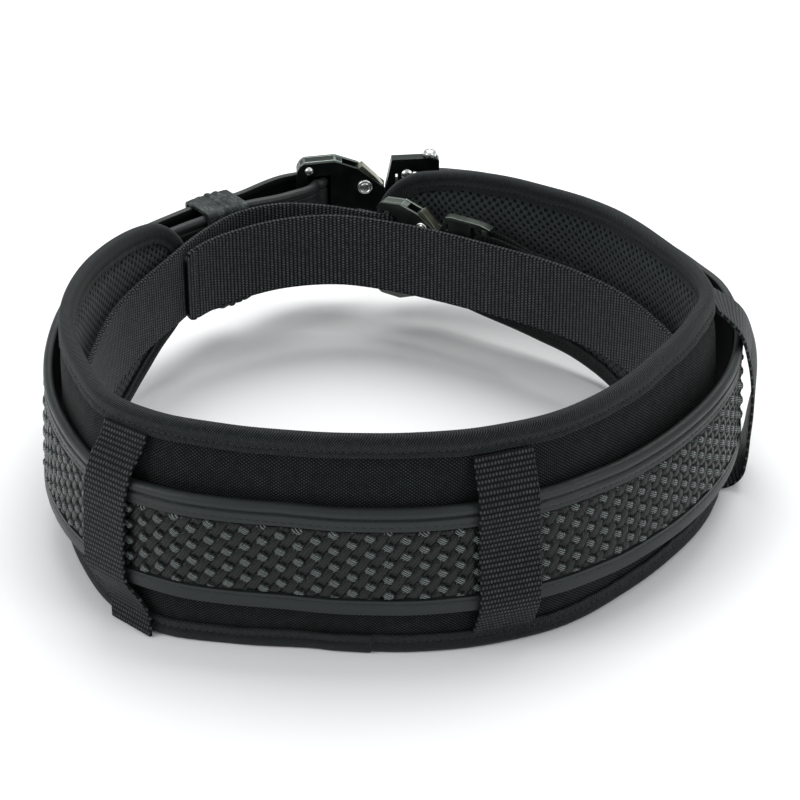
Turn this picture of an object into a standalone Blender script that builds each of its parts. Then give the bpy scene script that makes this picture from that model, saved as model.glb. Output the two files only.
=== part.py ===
"""Rigger belt: a leather belt with a basket-weave panel, carried round a padded back support by
three webbing loops, with a second webbing belt inside it and a metal release buckle on each.

Built in millimetres and turned to metres at the end. +Z is up, the front of the pad faces -Y,
and the object stands on the lower edge of the pad, with the origin under its middle.
"""

import math

import bmesh
import bpy
import numpy as np
from mathutils import Matrix, Vector

MM = 0.001
GAP = 0.3

# The plan tables below are measured from a point that lies this far from the object's middle
PLAN_MIDDLE = (2.6, 25.75)

# Padded support: foam and twill outside, net lining inside, a bound edge all round
PAD_HEIGHT = 119.0
BINDING_HALF = 3.9
BINDING_TAPE = 1.2
BINDING_REACH = 11.0
BINDING_CHAMFER = 1.7
SHELL_FULL = 3.7
LINING_FULL = 4.5
LAYER_SPLIT = -0.85
TAPE_PLAY = 0.7
SWELL_CLEAR = 2.2
SWELL_RISE = 3.5
END_CORNER = 27.0
CORNER_TURNS = (0, 22, 45, 67, 90)
PAD_STEP = 19.0

# Leather belt
BELT_HEIGHT = 58.0
BELT_HALF = 2.4
EDGE_ROUND = 0.8
EDGE_RISE = 1.4
ROLL_HALF = 2.9
ROLL_RISE = 3.0
LOWER_BORDER = 8.4
UPPER_BORDER = 11.6
PANEL_THICK = 1.5
PANEL_SEAT = 0.75
PANEL_PROUD = 0.2
PANEL_CLEAR = 0.5
PANEL_EASE = 0.4
PANEL_START = 130.0
PANEL_STOP = 60.0
BELT_STEP = 19.0

# Folds of a band round a bar: rows in each, clearance from the bar, and each one's first and last
# angle in degrees about the bar, those of the waist buckle from its own line
FOLD_STEPS = 7
FOLD_PLAY = 0.5
LEFT_FOLD = (-75, 90)
RIGHT_FOLD = (90, 255)
WEBBING_FOLD = (90, -80)
TAB_FOLD = (290, 70)

# Webbing belt inside the pad, and the hidden tab that ties it to its buckle
WEBBING_HEIGHT = 44.5
WEBBING_HALF = 1.4
SELVAGE = 0.6
WEBBING_STEP = 19.0
SEWN_BACK = (28.0, 11.0)
TAB_HEIGHT = 43.0
TAB_HALF = 0.9
TAB_SEWN = ((99.5, 81.0), (86.0, 91.0), (74.0, 99.0))

# Loops that carry the leather belt
LOOP_TAPE = 1.8
LOOP_CORNERS = 4

# Leather keeper round both strands of the belt
KEEPER_AT = (-105.5, 162.5)
KEEPER_TURN = 36.9
KEEPER_WIDTH = 27.0
KEEPER_THICK = 1.8
KEEPER_DEEP = 10.8
KEEPER_ROUND = 1.2

# Outer face of the pad's bound edge in plan, from the left end round the front to the right end.
# top and bottom are the heights of the edge, foot is how far the bottom stands out past the top.
PAD_COLUMNS = ("x", "y", "top", "bottom", "foot")
PAD = (
    (-124, 127, 97, 28, 0),
    (-139, 110, 101, 25, 0),
    (-148, 94, 105, 15, 1),
    (-156, 74, 109, 6, 2),
    (-165, 45, 113, 0, 2),
    (-171, 12, 116, 0, 3),
    (-170, -42, 118.5, 0, 4),
    (-158, -82, 119, 0, 4),
    (-139, -118, 119, 0, 4),
    (-116, -135, 119, 0, 7),
    (-80, -147, 119, 0, 4),
    (-40, -154, 119, 0, 1),
    (5, -155, 119, 0, 3),
    (46, -145, 117.5, 0, 6),
    (78, -129, 116.5, 0, 7.5),
    (106, -104, 116.5, 0, 7.5),
    (130, -72, 117.5, 0, 10),
    (154, -28, 118.5, 0, 11),
    (161, -4, 118, 0, 10),
    (159, 14, 117.5, 0, 9),
    (152, 38, 116.5, 0, 8),
    (141, 62, 115.5, 0, 6),
    (129, 86, 114.5, 2, 3),
    (116.5, 106, 113, 7, 1),
    (103, 121, 112, 11, 0),
    (82, 138, 111, 14, 0),
    (50, 159, 109, 19, 0),
    (23, 175, 103, 24, 0),
    (-13, 181, 97, 30, 0),
)

# Middle of the leather belt in plan, the height of its lower edge, and how far that edge stands
# out past the upper one. The belt starts at the free end of the strand that is folded back at the
# left, passes behind the pad's left end to the bar of the buckle, and comes back outside it.
BELT_COLUMNS = ("x", "y", "base", "foot")
FOLDED_STRAND = (
    (-155, 96, 28, 0),
    (-143, 114, 28, 0),
    (-131, 130, 28, 0),
    (-111, 149, 28, 0),
    (-91, 166, 28, 0),
    (-66, 179, 28, 0),
    (-51, 191, 28, 0),
)
OUTER_STRAND = (
    (-65.5, 205.3, 28, 0),
    (-95, 179.2, 28, 0),
    (-121, 159, 28, 0),
    (-147, 131, 28, 0),
    (-163, 103, 28, 0),
    (-174, 68, 28, 0),
    (-181, 28, 27.5, 1),
    (-182, -14, 27, 3),
    (-176, -55, 27, 5),
    (-160.4, -95.3, 26.5, 5),
    (-138.9, -127.9, 28, 2),
    (-107, -147.5, 28.5, 2),
    (-58, -156.5, 27, 1),
    (-5, -160.5, 26, 2),
    (43, -153.5, 26, 3),
    (83.4, -135.4, 26, 5),
    (118, -108, 26, 5),
    (146, -75, 26.5, 5),
    (165, -41, 27, 4),
    (176.5, -2, 27.5, 3),
    (178.5, 37, 28, 2),
    (172, 70, 28, 0),
    (161.5, 91, 28, 0),
    (150, 112, 28, 0),
    (135, 137, 28, 0),
    (118, 159, 28, 0),
    (101, 176, 28, 0),
    (84, 188.5, 28, 0),
    (62, 200.5, 28, 0),
    (39, 210, 28, 0),
)
RIGHT_RETURN = (
    (33, 201, 28, 0),
    (54, 195.5, 28, 0),
    (78, 183.5, 28, 0),
)

# Middle of the webbing belt in plan, and the height of its lower edge, from the fold at the
# buckle's fixed half, round the inside of the pad, to the free tail that covers the buckle
WEBBING_COLUMNS = ("x", "y", "base")
WEBBING_ROUND = (
    (-24, 159, 40.05),
    (-45, 164, 41),
    (-70, 165, 41.5),
    (-92, 154, 41.5),
    (-107, 136, 41.5),
    (-118, 117, 41.5),
    (-129, 94, 41),
    (-140, 71, 40.5),
    (-150, 45, 40),
    (-157, 12, 39.5),
    (-158, -40, 39),
    (-145, -76, 38.5),
    (-129, -110, 38.5),
    (-110, -124, 38.5),
    (-77, -137, 38.5),
    (-38, -144, 38.5),
    (4, -145, 38.5),
    (42, -136, 38.5),
    (73, -121, 38.5),
    (99, -96, 38.5),
    (121, -65, 38.5),
    (140, -24, 38.5),
    (143, 6, 39),
    (135, 28, 39.5),
    (118, 58, 40),
    (99, 80, 40),
    (78, 97, 40),
    (50, 115, 40),
    (22, 131, 40),
    (-8, 143, 40.8),
    (-36, 149, 41.6),
    (-68, 145, 41),
    (-90, 134, 40.3),
    (-107, 121, 39.6),
    (-119.5, 105.5, 39),
)

# Loops: length of each along the pad from its left end, its width, how much of its stand-off it
# gains from one side to the other, and its inner face as rows of height, stand-off from the outer
# face of the pad's bound edge, and drift along the pad
LOOPS = {
    "left": (278.0, 26.5, 0.0, (
        (109.5, 0.3, 0), (100, 2.8, -2), (90, 7.6, -4.5), (78, 9.4, -6.5), (60, 9.6, -7.5), (42, 9.2, -8.5),
        (30, 8.0, -8), (21, 4.5, -2.5), (15, 2.8, 0.5), (1, 2.4, 2),
    )),
    "centre": (460.0, 30.0, 0.0, (
        (106, 0.3, 0), (97, 3.2, 0), (88, 7.2, 0), (60, 8.0, 0), (24, 8.2, 0), (16, 3.2, 0), (11, 0.8, 0),
        (1, 0.6, 0),
    )),
    "right": (658.0, 30.0, 0.44, (
        (106.5, 0.3, 0), (102, 6, 0), (92, 15.5, 0), (75, 21, 0), (50, 22.5, 0), (30, 19.5, 0), (16, 17, 0),
        (8, 14, 0), (4.4, 9.5, 0), (2.8, 4.5, 0), (2.6, 0.8, 0),
    )),
}

# Buckles: where the two halves meet in plan, the height of the middle, the turn about Z in
# degrees, and the size of one unit of the outlines below. Then in units: the fixed half's left end
# and top, the loose half's right end, its arm's upper edge, and how far its bar's necks reach
BUCKLES = {
    "main": dict(at=(-11.0, 204.5), mid=58.0, turn=3.0, unit=1.0, left=-50.3, top=39.2, right=34.0,
                 arm=((6, 38.6), (25, 39.1), (33, 38.6), (34, 37.1)), head=39.1, neck=4.3),
    "waist": dict(at=(21.5, 144.0), mid=62.3, turn=-26.6, unit=0.79, left=-47.0, top=37.8, right=43.0,
                  arm=((7.5, 34.4), (12, 35.2), (35, 33.8), (43, 31.4)), head=None, neck=1.3),
}
ARM_INNER = 30.6
CHEEK_INNER = 19.0
CHEEK_RIGHT = -43.5
PLATE_HALF = 1.0
PLATE_OUT = 5.0
CORE_HALF = 3.1
MALE_HALF = 3.5
LEVER_HALF = 3.55
ROUND_SIDES = 10

# Outlines in a buckle, as rows of distance along the belt from where its halves meet, and up
# from its middle. Each is the upper half of its piece, from the left end to the right.
TONGUE_EDGE = (
    (-24, 7.5), (-22.8, 11), (-21.2, 11), (-21.2, 8.6), (-16, 8.6), (-16, 11), (0, 11), (0, 13.5),
    (2.2, 16), (2.2, 20),
)
LEVER_EDGE = (
    (-20, 24), (-18, 29.8), (-14.2, 33.4), (-11.5, 35.5), (-9.4, 33.4), (-3, 27), (1.2, 21.3), (0.8, 17),
    (-7, 15), (-14, 15.5), (-16.6, 13), (-16.6, 9.8), (-18.6, 9.8), (-19.6, 14),
)
MALE_SLOT = ((8.2, 24.5), (9.6, 24.5), (9.6, 29.5), (8.2, 29.5))

# Bars, rivets, pins and studs, in the same units
STRAP_BAR_AT = -40.0
MALE_BAR_INSET = 5.5
MALE_OPENING = 9.9
BAR_RADIUS = 3.0
BAR_HEAD = ((0, 3.9), (2.2, 3.6), (3.7, 2.5), (4, 1.2), (4, 0))
NECK_RADIUS = 2.0
NECK_DEPTH = 4.3
HOLE_PLAY = 0.3
LEVER_PIVOT = (-10.0, 23.0)
PIN_AT = (-42.7, 33.8)
STUD_AT = (15.0, 29.0)
PIN_SHAFT = 1.5
RIVET_TURNED = (
    (0, 7.8), (2.2, 7.4), (2.8, 6.9), (3.4, 7.5), (4.4, 7.0), (4.4, 6.3), (2, 6.3), (2, -6.3),
    (4, -6.3), (4, -7.2), (0, -7.2),
)
PIN_TURNED = ((0, 8.1), (1.6, 7.7), (2.5, 6.8), (2.5, 6.3), (1.5, 6.3), (1.5, 4.1), (0, 4.1))
STUD_TURNED = (
    (0, 5.8), (2.2, 5.2), (3.5, 4.3), (3.5, 3.8), (1.5, 3.8), (1.5, -3.8), (2.6, -3.8), (2.6, -4.6),
    (0, -4.6),
)

BLACK_TWILL = ("black_twill", (0.022, 0.023, 0.024), 0.9, 0.0)
SPACER_NET = ("spacer_net", (0.03, 0.033, 0.034), 0.85, 0.0)
TAPE = ("binding_tape", (0.02, 0.021, 0.022), 0.85, 0.0)
LEATHER = ("black_leather", (0.03, 0.031, 0.031), 0.5, 0.0)
NYLON = ("nylon_webbing", (0.028, 0.03, 0.032), 0.7, 0.0)
BLACK_METAL = ("black_coated_alloy", (0.03, 0.031, 0.032), 0.35, 0.8)
PLATED = ("plated_steel", (0.62, 0.62, 0.6), 0.25, 1.0)
LEVER_METAL = ("lever_alloy", (0.36, 0.35, 0.31), 0.35, 1.0)


class Track:
    """A smooth path in plan through a table's rows, read by its length in millimetres."""

    FINE = 2.0

    def __init__(self, rows, columns):
        rows = np.array(rows, float)
        chords = np.hypot(*np.diff(rows[:, :2], axis=0).T)
        knots = np.concatenate([[0.0], np.cumsum(chords)])
        slopes = np.gradient(rows, knots, axis=0)
        at_length = np.linspace(0.0, knots[-1], int(knots[-1] / self.FINE) + 2)
        piece = np.clip(np.searchsorted(knots, at_length, "right") - 1, 0, len(rows) - 2)
        span = (knots[piece + 1] - knots[piece])[:, None]
        t = (at_length - knots[piece])[:, None] / span
        self.rows = (
            (1 + 2 * t) * (1 - t) ** 2 * rows[piece]
            + t * (1 - t) ** 2 * span * slopes[piece]
            + t**2 * (3 - 2 * t) * rows[piece + 1]
            + t**2 * (t - 1) * span * slopes[piece + 1]
        )
        steps = np.hypot(*np.diff(self.rows[:, :2], axis=0).T)
        self.arc = np.concatenate([[0.0], np.cumsum(steps)])
        self.length = self.arc[-1]
        along = np.gradient(self.rows[:, :2], self.arc, axis=0)
        along /= np.hypot(*along.T)[:, None]
        self.normals = np.stack([along[:, 1], -along[:, 0]], axis=1)
        self.columns = columns

    def value(self, name, s):
        return float(np.interp(s, self.arc, self.rows[:, self.columns.index(name)]))

    def normal(self, s):
        return np.array([np.interp(s, self.arc, self.normals[:, i]) for i in (0, 1)])

    def point(self, s, out):
        """The place in plan at length s, moved out to the right of the way the path runs."""
        return np.array([self.value("x", s), self.value("y", s)]) + out * self.normal(s)

    def nearest(self, xy):
        """Length at which the path passes closest to a place in plan."""
        away = np.hypot(*(self.rows[:, :2] - np.array(xy)).T)
        return float(self.arc[np.argmin(away)])


def at(xy, z):
    """Plan millimetres and a height as a point in metres, from the object's own origin."""
    return Vector((xy[0] - PLAN_MIDDLE[0], xy[1] - PLAN_MIDDLE[1], z)) * MM


def material(spec):
    name, colour, roughness, metallic = spec
    found = bpy.data.materials.get(name)
    if found:
        return found
    made = bpy.data.materials.new(name)
    made.use_nodes = True
    shader = made.node_tree.nodes["Principled BSDF"]
    shader.inputs["Base Color"].default_value = (*colour, 1.0)
    shader.inputs["Roughness"].default_value = roughness
    shader.inputs["Metallic"].default_value = metallic
    return made


def clear_scene():
    for obj in list(bpy.data.objects):
        bpy.data.objects.remove(obj, do_unlink=True)
    for mesh in list(bpy.data.meshes):
        bpy.data.meshes.remove(mesh)


def new_collection(name):
    made = bpy.data.collections.new(name)
    bpy.context.scene.collection.children.link(made)
    return made


def finished(obj, spec):
    """Gives a piece its material and puts it with the object's other parts."""
    obj.data.materials.append(material(spec))
    if obj.type == "MESH" and obj.data.polygons:
        obj.data.shade_smooth()
        obj.data.set_sharp_from_angle(angle=math.radians(35))
    PARTS.objects.link(obj)
    return obj


def lofted(name, rings, spec, closed=False):
    """One solid through rings of points that match one to one, with flat ends unless closed."""
    work = bmesh.new()
    loops = [[work.verts.new(p) for p in ring] for ring in rings]
    pairs = list(zip(loops, loops[1:] + loops[:1] if closed else loops[1:]))
    for first, second in pairs:
        for i in range(len(first)):
            work.faces.new((first[i - 1], first[i], second[i], second[i - 1]))
    if not closed:
        work.faces.new(loops[0])
        work.faces.new(loops[-1])
    bmesh.ops.recalc_face_normals(work, faces=work.faces)
    mesh = bpy.data.meshes.new(name)
    work.to_mesh(mesh)
    work.free()
    return finished(bpy.data.objects.new(name, mesh), spec)


# The padded support


def pad_stations(track, inset):
    """Lengths along the pad where it is cut: close together round the corners of its ends."""
    radius = END_CORNER - inset
    turns = [radius * (1 - math.cos(math.radians(a))) + inset for a in CORNER_TURNS]
    count = int((track.length - 2 * turns[-1]) / PAD_STEP) + 1
    middle = np.linspace(turns[-1], track.length - turns[-1], count + 1)[1:-1]
    return turns + list(middle) + [track.length - t for t in reversed(turns)]


def pad_edge(track, s, side, inset):
    """Height of the pad's upper or lower outline at s, with its ends' corners rounded."""
    edge = max(track.value(side, s), 0.0)
    radius = END_CORNER - inset
    near = min(s, track.length - s) - inset
    drop = radius - math.sqrt(max(radius**2 - max(radius - near, 0.0) ** 2, 0.0))
    return edge - inset - drop if side == "top" else edge + inset + drop


def on_pad(track, s, z, out):
    """A point of the pad from its length, height and distance out from its bound edge's face."""
    lean = track.value("foot", s) * (1.0 - min(max(z / PAD_HEIGHT, 0.0), 1.0))
    return at(track.point(s, out + lean), z)


def pad_layer(name, track, flat, tight, full, spec):
    """A layer of the pad with one flat face and one that swells from its bound edge. The three
    sizes are distances out from the pad's middle."""
    inset = BINDING_TAPE + GAP
    bound = BINDING_REACH + SWELL_CLEAR
    rings = []
    for s in pad_stations(track, inset):
        low = pad_edge(track, s, "bottom", inset)
        high = pad_edge(track, s, "top", inset)
        low_lip = pad_edge(track, s, "bottom", bound)
        high_lip = pad_edge(track, s, "top", bound)
        end = min(s, track.length - s) - bound
        swell = tight + (full - tight) * min(max(end / bound, 0.0), 1.0)
        section = (
            (low, tight),
            (low_lip, tight),
            (low_lip + SWELL_RISE, swell),
            (high_lip - SWELL_RISE, swell),
            (high_lip, tight),
            (high, tight),
            (high, flat),
            (low, flat),
        )
        rings.append([on_pad(track, s, z, d - BINDING_HALF) for z, d in section])
    return lofted(name, rings, spec)


def pad_outline(track):
    """The pad's outline as rows of length and height, once round, from the left end's foot."""
    stations = pad_stations(track, 0.0)
    upper = [(s, pad_edge(track, s, "top", 0.0)) for s in stations]
    lower = [(s, pad_edge(track, s, "bottom", 0.0)) for s in reversed(stations)]
    return upper + lower


def make_binding(track):
    """Tape folded over the pad's edge: a U section carried round the outline."""
    half, tape, reach = BINDING_HALF, BINDING_TAPE, BINDING_REACH
    inner = half - tape
    section = (
        (half, reach),
        (half, BINDING_CHAMFER),
        (half - BINDING_CHAMFER, 0.0),
        (BINDING_CHAMFER - half, 0.0),
        (-half, BINDING_CHAMFER),
        (-half, reach),
        (-inner, reach),
        (-inner, tape),
        (inner, tape),
        (inner, reach),
    )
    outline = np.array(pad_outline(track))
    ahead = np.roll(outline, -1, axis=0) - outline
    ahead /= np.hypot(*ahead.T)[:, None]
    tangent = ahead + np.roll(ahead, 1, axis=0)
    tangent /= np.hypot(*tangent.T)[:, None]
    inward = np.stack([tangent[:, 1], -tangent[:, 0]], axis=1)
    level = (outline[:, 0] > END_CORNER) & (outline[:, 0] < track.length - END_CORNER)
    inward[level] = np.stack([0.0 * inward[level, 1], np.sign(inward[level, 1])], axis=1)
    rings = []
    for (s, z), (step_s, step_z) in zip(outline, inward):
        ring = [(s + e * step_s, z + e * step_z, d - half) for d, e in section]
        rings.append([on_pad(track, *place) for place in ring])
    return lofted("pad_binding", rings, TAPE, closed=True)


def make_pad(track):
    tight = BINDING_HALF - BINDING_TAPE - TAPE_PLAY
    split = LAYER_SPLIT
    pad_layer("pad_shell", track, split + GAP / 2, tight, SHELL_FULL, BLACK_TWILL)
    pad_layer("pad_lining", track, split - GAP / 2, -tight, -LINING_FULL, SPACER_NET)
    make_binding(track)


def make_loop(track, side):
    """A webbing loop: a bowed strip sewn to the pad above and below the leather belt."""
    middle, width, slant, profile = LOOPS[side]
    rows = np.array(profile, float)
    slope = np.gradient(rows[:, :2], axis=0)
    slope /= np.hypot(*slope.T)[:, None]
    outer = rows.copy()
    outer[:, :2] += LOOP_TAPE * np.stack([slope[:, 1], -slope[:, 0]], axis=1)
    outer[0, 0] = rows[0, 0]
    outer[-1, 0] = rows[-1, 0]
    section = np.concatenate([rows, outer[::-1]])
    stand = np.concatenate([rows[:, 1], rows[::-1, 1]])
    bow = track.normal(middle)
    along = np.array((-bow[1], bow[0]))
    rings = []
    for part in np.linspace(-0.5, 0.5, LOOP_CORNERS):
        ring = []
        for (z, out, drift), gain in zip(section, slant * part * stand):
            shift = ((out + gain) * bow + drift * along) * MM
            ring.append(on_pad(track, middle + part * width, z, 0.0) + Vector((*shift, 0.0)))
        rings.append(ring)
    return lofted("belt_loop_" + side, rings, NYLON)


# Places in a buckle


def in_buckle(buckle, along, out=0.0):
    """Plan position of a place given in units along and behind a buckle's middle line."""
    turn = math.radians(buckle["turn"])
    unit = buckle["unit"]
    x = buckle["at"][0] + unit * (along * math.cos(turn) - out * math.sin(turn))
    y = buckle["at"][1] + unit * (along * math.sin(turn) + out * math.cos(turn))
    return (x, y)


def buckle_frame(buckle, along=0.0, out=0.0, up=0.0):
    """Axes at a place in a buckle: X along the belt, Y behind, Z up."""
    spot = at(in_buckle(buckle, along, out), buckle["mid"] + up * buckle["unit"])
    return Matrix.Translation(spot) @ Matrix.Rotation(math.radians(buckle["turn"]), 4, "Z")


FACING_FRONT = Matrix.Rotation(math.pi / 2, 4, "X")


def male_bar_along(buckle):
    return buckle["right"] - MALE_BAR_INSET


def fold_round(buckle, along, half, turns, rest):
    """Rows of a fold of a band round an upright bar, from one angle to the other, in degrees.
    rest holds the columns of a row that follow its x and y."""
    centre = in_buckle(buckle, along)
    radius = BAR_RADIUS * buckle["unit"] + FOLD_PLAY + half
    rows = []
    for turn in np.linspace(*np.radians(turns), FOLD_STEPS):
        place = (centre[0] + radius * math.cos(turn), centre[1] + radius * math.sin(turn))
        rows.append(place + tuple(rest))
    return tuple(rows)


# The belts


def band_stations(track, step, folds):
    """Even lengths along a band, with those of its tight folds put in between."""
    stations = list(np.linspace(0.0, track.length, int(track.length / step) + 1))
    for start, stop in folds:
        stations = [s for s in stations if not start - step / 2 < s < stop + step / 2]
        stations += list(np.linspace(start, stop, FOLD_STEPS + 2))
    return sorted(stations)


def fold_spans(track, *folds):
    """Where each fold's rows start and stop along a band."""
    return [(track.nearest(fold[0][:2]), track.nearest(fold[-1][:2])) for fold in folds]


def belt_path():
    buckle = BUCKLES["main"]
    left = fold_round(buckle, STRAP_BAR_AT, ROLL_HALF, LEFT_FOLD, FOLDED_STRAND[-1][2:])
    right = fold_round(buckle, male_bar_along(buckle), ROLL_HALF, RIGHT_FOLD, RIGHT_RETURN[0][2:])
    track = Track(FOLDED_STRAND + left + OUTER_STRAND + right + RIGHT_RETURN, BELT_COLUMNS)
    return track, fold_spans(track, left, right)


def belt_ring(track, s, section):
    """Points of the belt's cross-section at s, from their distances out and up from its edge."""
    base = track.value("base", s)
    foot = track.value("foot", s)
    return [at(track.point(s, d + foot * (0.5 - z / BELT_HEIGHT)), base + z) for d, z in section]


def panel_span(folds):
    """Where the woven panel starts and stops along the belt."""
    return folds[0][1] + PANEL_START, folds[1][0] - PANEL_STOP


def make_leather_belt(track, folds):
    """The band with its rolled upper edge, sunk between its borders where the panel lies."""
    start, stop = panel_span(folds)
    top = BELT_HEIGHT
    rings = []
    for s in band_stations(track, BELT_STEP, folds):
        sunk = PANEL_THICK if start - 1 < s < stop + 1 else 0.0
        section = (
            (EDGE_ROUND - BELT_HALF, 0.0),
            (BELT_HALF - EDGE_ROUND, 0.0),
            (BELT_HALF, EDGE_RISE),
            (BELT_HALF, LOWER_BORDER),
            (BELT_HALF - sunk, LOWER_BORDER + 0.1),
            (BELT_HALF - sunk, top - UPPER_BORDER - 0.1),
            (BELT_HALF, top - UPPER_BORDER),
            (ROLL_HALF, top - ROLL_RISE),
            (ROLL_HALF - EDGE_RISE, top),
            (EDGE_RISE - ROLL_HALF, top),
            (-ROLL_HALF, top - ROLL_RISE),
            (-BELT_HALF, EDGE_RISE),
        )
        rings.append(belt_ring(track, s, section))
    return lofted("leather_belt", rings, LEATHER)


def make_weave_panel(track, folds):
    start, stop = panel_span(folds)
    inner = BELT_HALF - PANEL_THICK + PANEL_SEAT
    outer = BELT_HALF + PANEL_PROUD
    low = LOWER_BORDER + PANEL_CLEAR
    high = BELT_HEIGHT - UPPER_BORDER - PANEL_CLEAR
    rings = []
    for s in band_stations(track, BELT_STEP, folds):
        if not start + 2 < s < stop - 2:
            continue
        section = (
            (inner, low), (outer, low + PANEL_EASE), (outer, high - PANEL_EASE), (inner, high),
        )
        rings.append(belt_ring(track, s, section))
    return lofted("weave_panel", rings, LEATHER)


def tape_band(name, track, folds, half, height, spec):
    """A flat band of tape on its edge along a track."""
    rings = []
    for s in band_stations(track, WEBBING_STEP, folds):
        base = track.value("base", s)
        section = (
            (-half, SELVAGE),
            (0.0, 0.0),
            (half, SELVAGE),
            (half, height - SELVAGE),
            (0.0, height),
            (-half, height - SELVAGE),
        )
        rings.append([at(track.point(s, d), base + z) for d, z in section])
    return lofted(name, rings, spec)


def make_webbing():
    """The webbing belt, sewn back behind itself round the bar of its buckle."""
    buckle = BUCKLES["waist"]
    base = WEBBING_ROUND[0][2]
    turns = [buckle["turn"] + angle for angle in WEBBING_FOLD]
    fold = fold_round(buckle, STRAP_BAR_AT, WEBBING_HALF, turns, (base,))
    behind = BAR_RADIUS + (FOLD_PLAY + WEBBING_HALF) / buckle["unit"]
    sewn_end = [(*in_buckle(buckle, STRAP_BAR_AT - back, behind), base) for back in SEWN_BACK]
    track = Track(tuple(sewn_end) + fold + WEBBING_ROUND, WEBBING_COLUMNS)
    tape_band("waist_webbing", track, fold_spans(track, fold), WEBBING_HALF, WEBBING_HEIGHT, NYLON)
    return track


def make_anchor(webbing):
    """A plain tab sewn behind the webbing belt that holds the loose half of its buckle."""
    buckle = BUCKLES["waist"]
    base = buckle["mid"] - TAB_HEIGHT / 2
    turns = [buckle["turn"] + angle for angle in TAB_FOLD]
    near = WEBBING_HALF + GAP + TAB_HALF
    far = near + 2 * TAB_HALF + GAP
    sewn = [webbing.nearest(xy) for xy in TAB_SEWN]
    there = [(*webbing.point(s, near), base) for s in sewn]
    back = [(*webbing.point(s, far), base) for s in reversed(sewn)]
    fold = fold_round(buckle, male_bar_along(buckle), TAB_HALF, turns, (base,))
    track = Track(tuple(there) + fold + tuple(back), WEBBING_COLUMNS)
    return tape_band("webbing_anchor", track, fold_spans(track, fold), TAB_HALF, TAB_HEIGHT, NYLON)


def keeper_ring(grow):
    """A rectangle with rounded corners, as rows of distance across and up."""
    deep, tall, radius = KEEPER_DEEP + grow, BELT_HEIGHT / 2 + GAP + grow, KEEPER_ROUND + grow
    ring = []
    for corner, (a, b) in enumerate(((1, 1), (-1, 1), (-1, -1), (1, -1))):
        for turn in (0, 45, 90):
            angle = math.radians(90 * corner + turn)
            across = a * (deep - radius) + radius * math.cos(angle)
            up = b * (tall - radius) + radius * math.sin(angle)
            ring.append((across, up))
    return ring


def make_keeper(track):
    """A leather band round both strands of the belt, open where they pass through it."""
    base = track.value("base", track.nearest(KEEPER_AT))
    turn = math.radians(KEEPER_TURN)
    along = np.array((math.cos(turn), math.sin(turn)))
    across = np.array((-along[1], along[0]))
    outer, inner = keeper_ring(KEEPER_THICK), keeper_ring(0.0)
    rings = []
    for ring, side in ((outer, -0.5), (outer, 0.5), (inner, 0.5), (inner, -0.5)):
        place = np.array(KEEPER_AT) + along * KEEPER_WIDTH * side
        rings.append([at(place + across * d, base + BELT_HEIGHT / 2 + up) for d, up in ring])
    return lofted("belt_keeper", rings, LEATHER, closed=True)


# The buckles


def mirrored(edge):
    """An upper edge and its image below the middle, as one closed outline."""
    return list(edge) + [(along, -up) for along, up in reversed(edge)]


def both_ways(outline):
    """An outline above the middle and its image below it."""
    return [list(outline), [(along, -up) for along, up in outline]]


def round_hole(centre, radius):
    """Two round outlines, above and below the middle."""
    turns = [2 * math.pi * i / ROUND_SIDES for i in range(ROUND_SIDES)]
    ring = [(centre[0] + radius * math.cos(t), centre[1] + radius * math.sin(t)) for t in turns]
    return both_ways(ring)


def flat_piece(name, buckle, outlines, half, out, spec, origin=(0.0, 0.0)):
    """A flat piece facing the front, cut to its first outline and holed by the others."""
    unit = buckle["unit"] * MM
    curve = bpy.data.curves.new(name, "CURVE")
    curve.dimensions = "2D"
    curve.fill_mode = "BOTH"
    curve.extrude = half * unit
    for outline in outlines:
        spline = curve.splines.new("POLY")
        spline.points.add(len(outline) - 1)
        for point, (along, up) in zip(spline.points, outline):
            point.co = ((along - origin[0]) * unit, (up - origin[1]) * unit, 0.0, 1.0)
        spline.use_cyclic_u = True
    obj = bpy.data.objects.new(name, curve)
    obj.matrix_world = buckle_frame(buckle, origin[0], out, origin[1]) @ FACING_FRONT
    return finished(obj, spec)


def turned_piece(name, frame, unit, profile, spec):
    """A turned piece about its frame's Z. Its profile runs from the top down the outer side."""
    mesh = bpy.data.meshes.new(name)
    points = [(radius * unit * MM, 0.0, up * unit * MM) for radius, up in profile]
    mesh.from_pydata(points, [(i, i + 1) for i in range(len(points) - 1)], [])
    obj = bpy.data.objects.new(name, mesh)
    obj.matrix_world = frame
    screw = obj.modifiers.new("turn", "SCREW")
    screw.steps = ROUND_SIDES
    screw.render_steps = ROUND_SIDES
    screw.use_merge_vertices = True
    screw.merge_threshold = 0.00001
    return finished(obj, spec)


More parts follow.
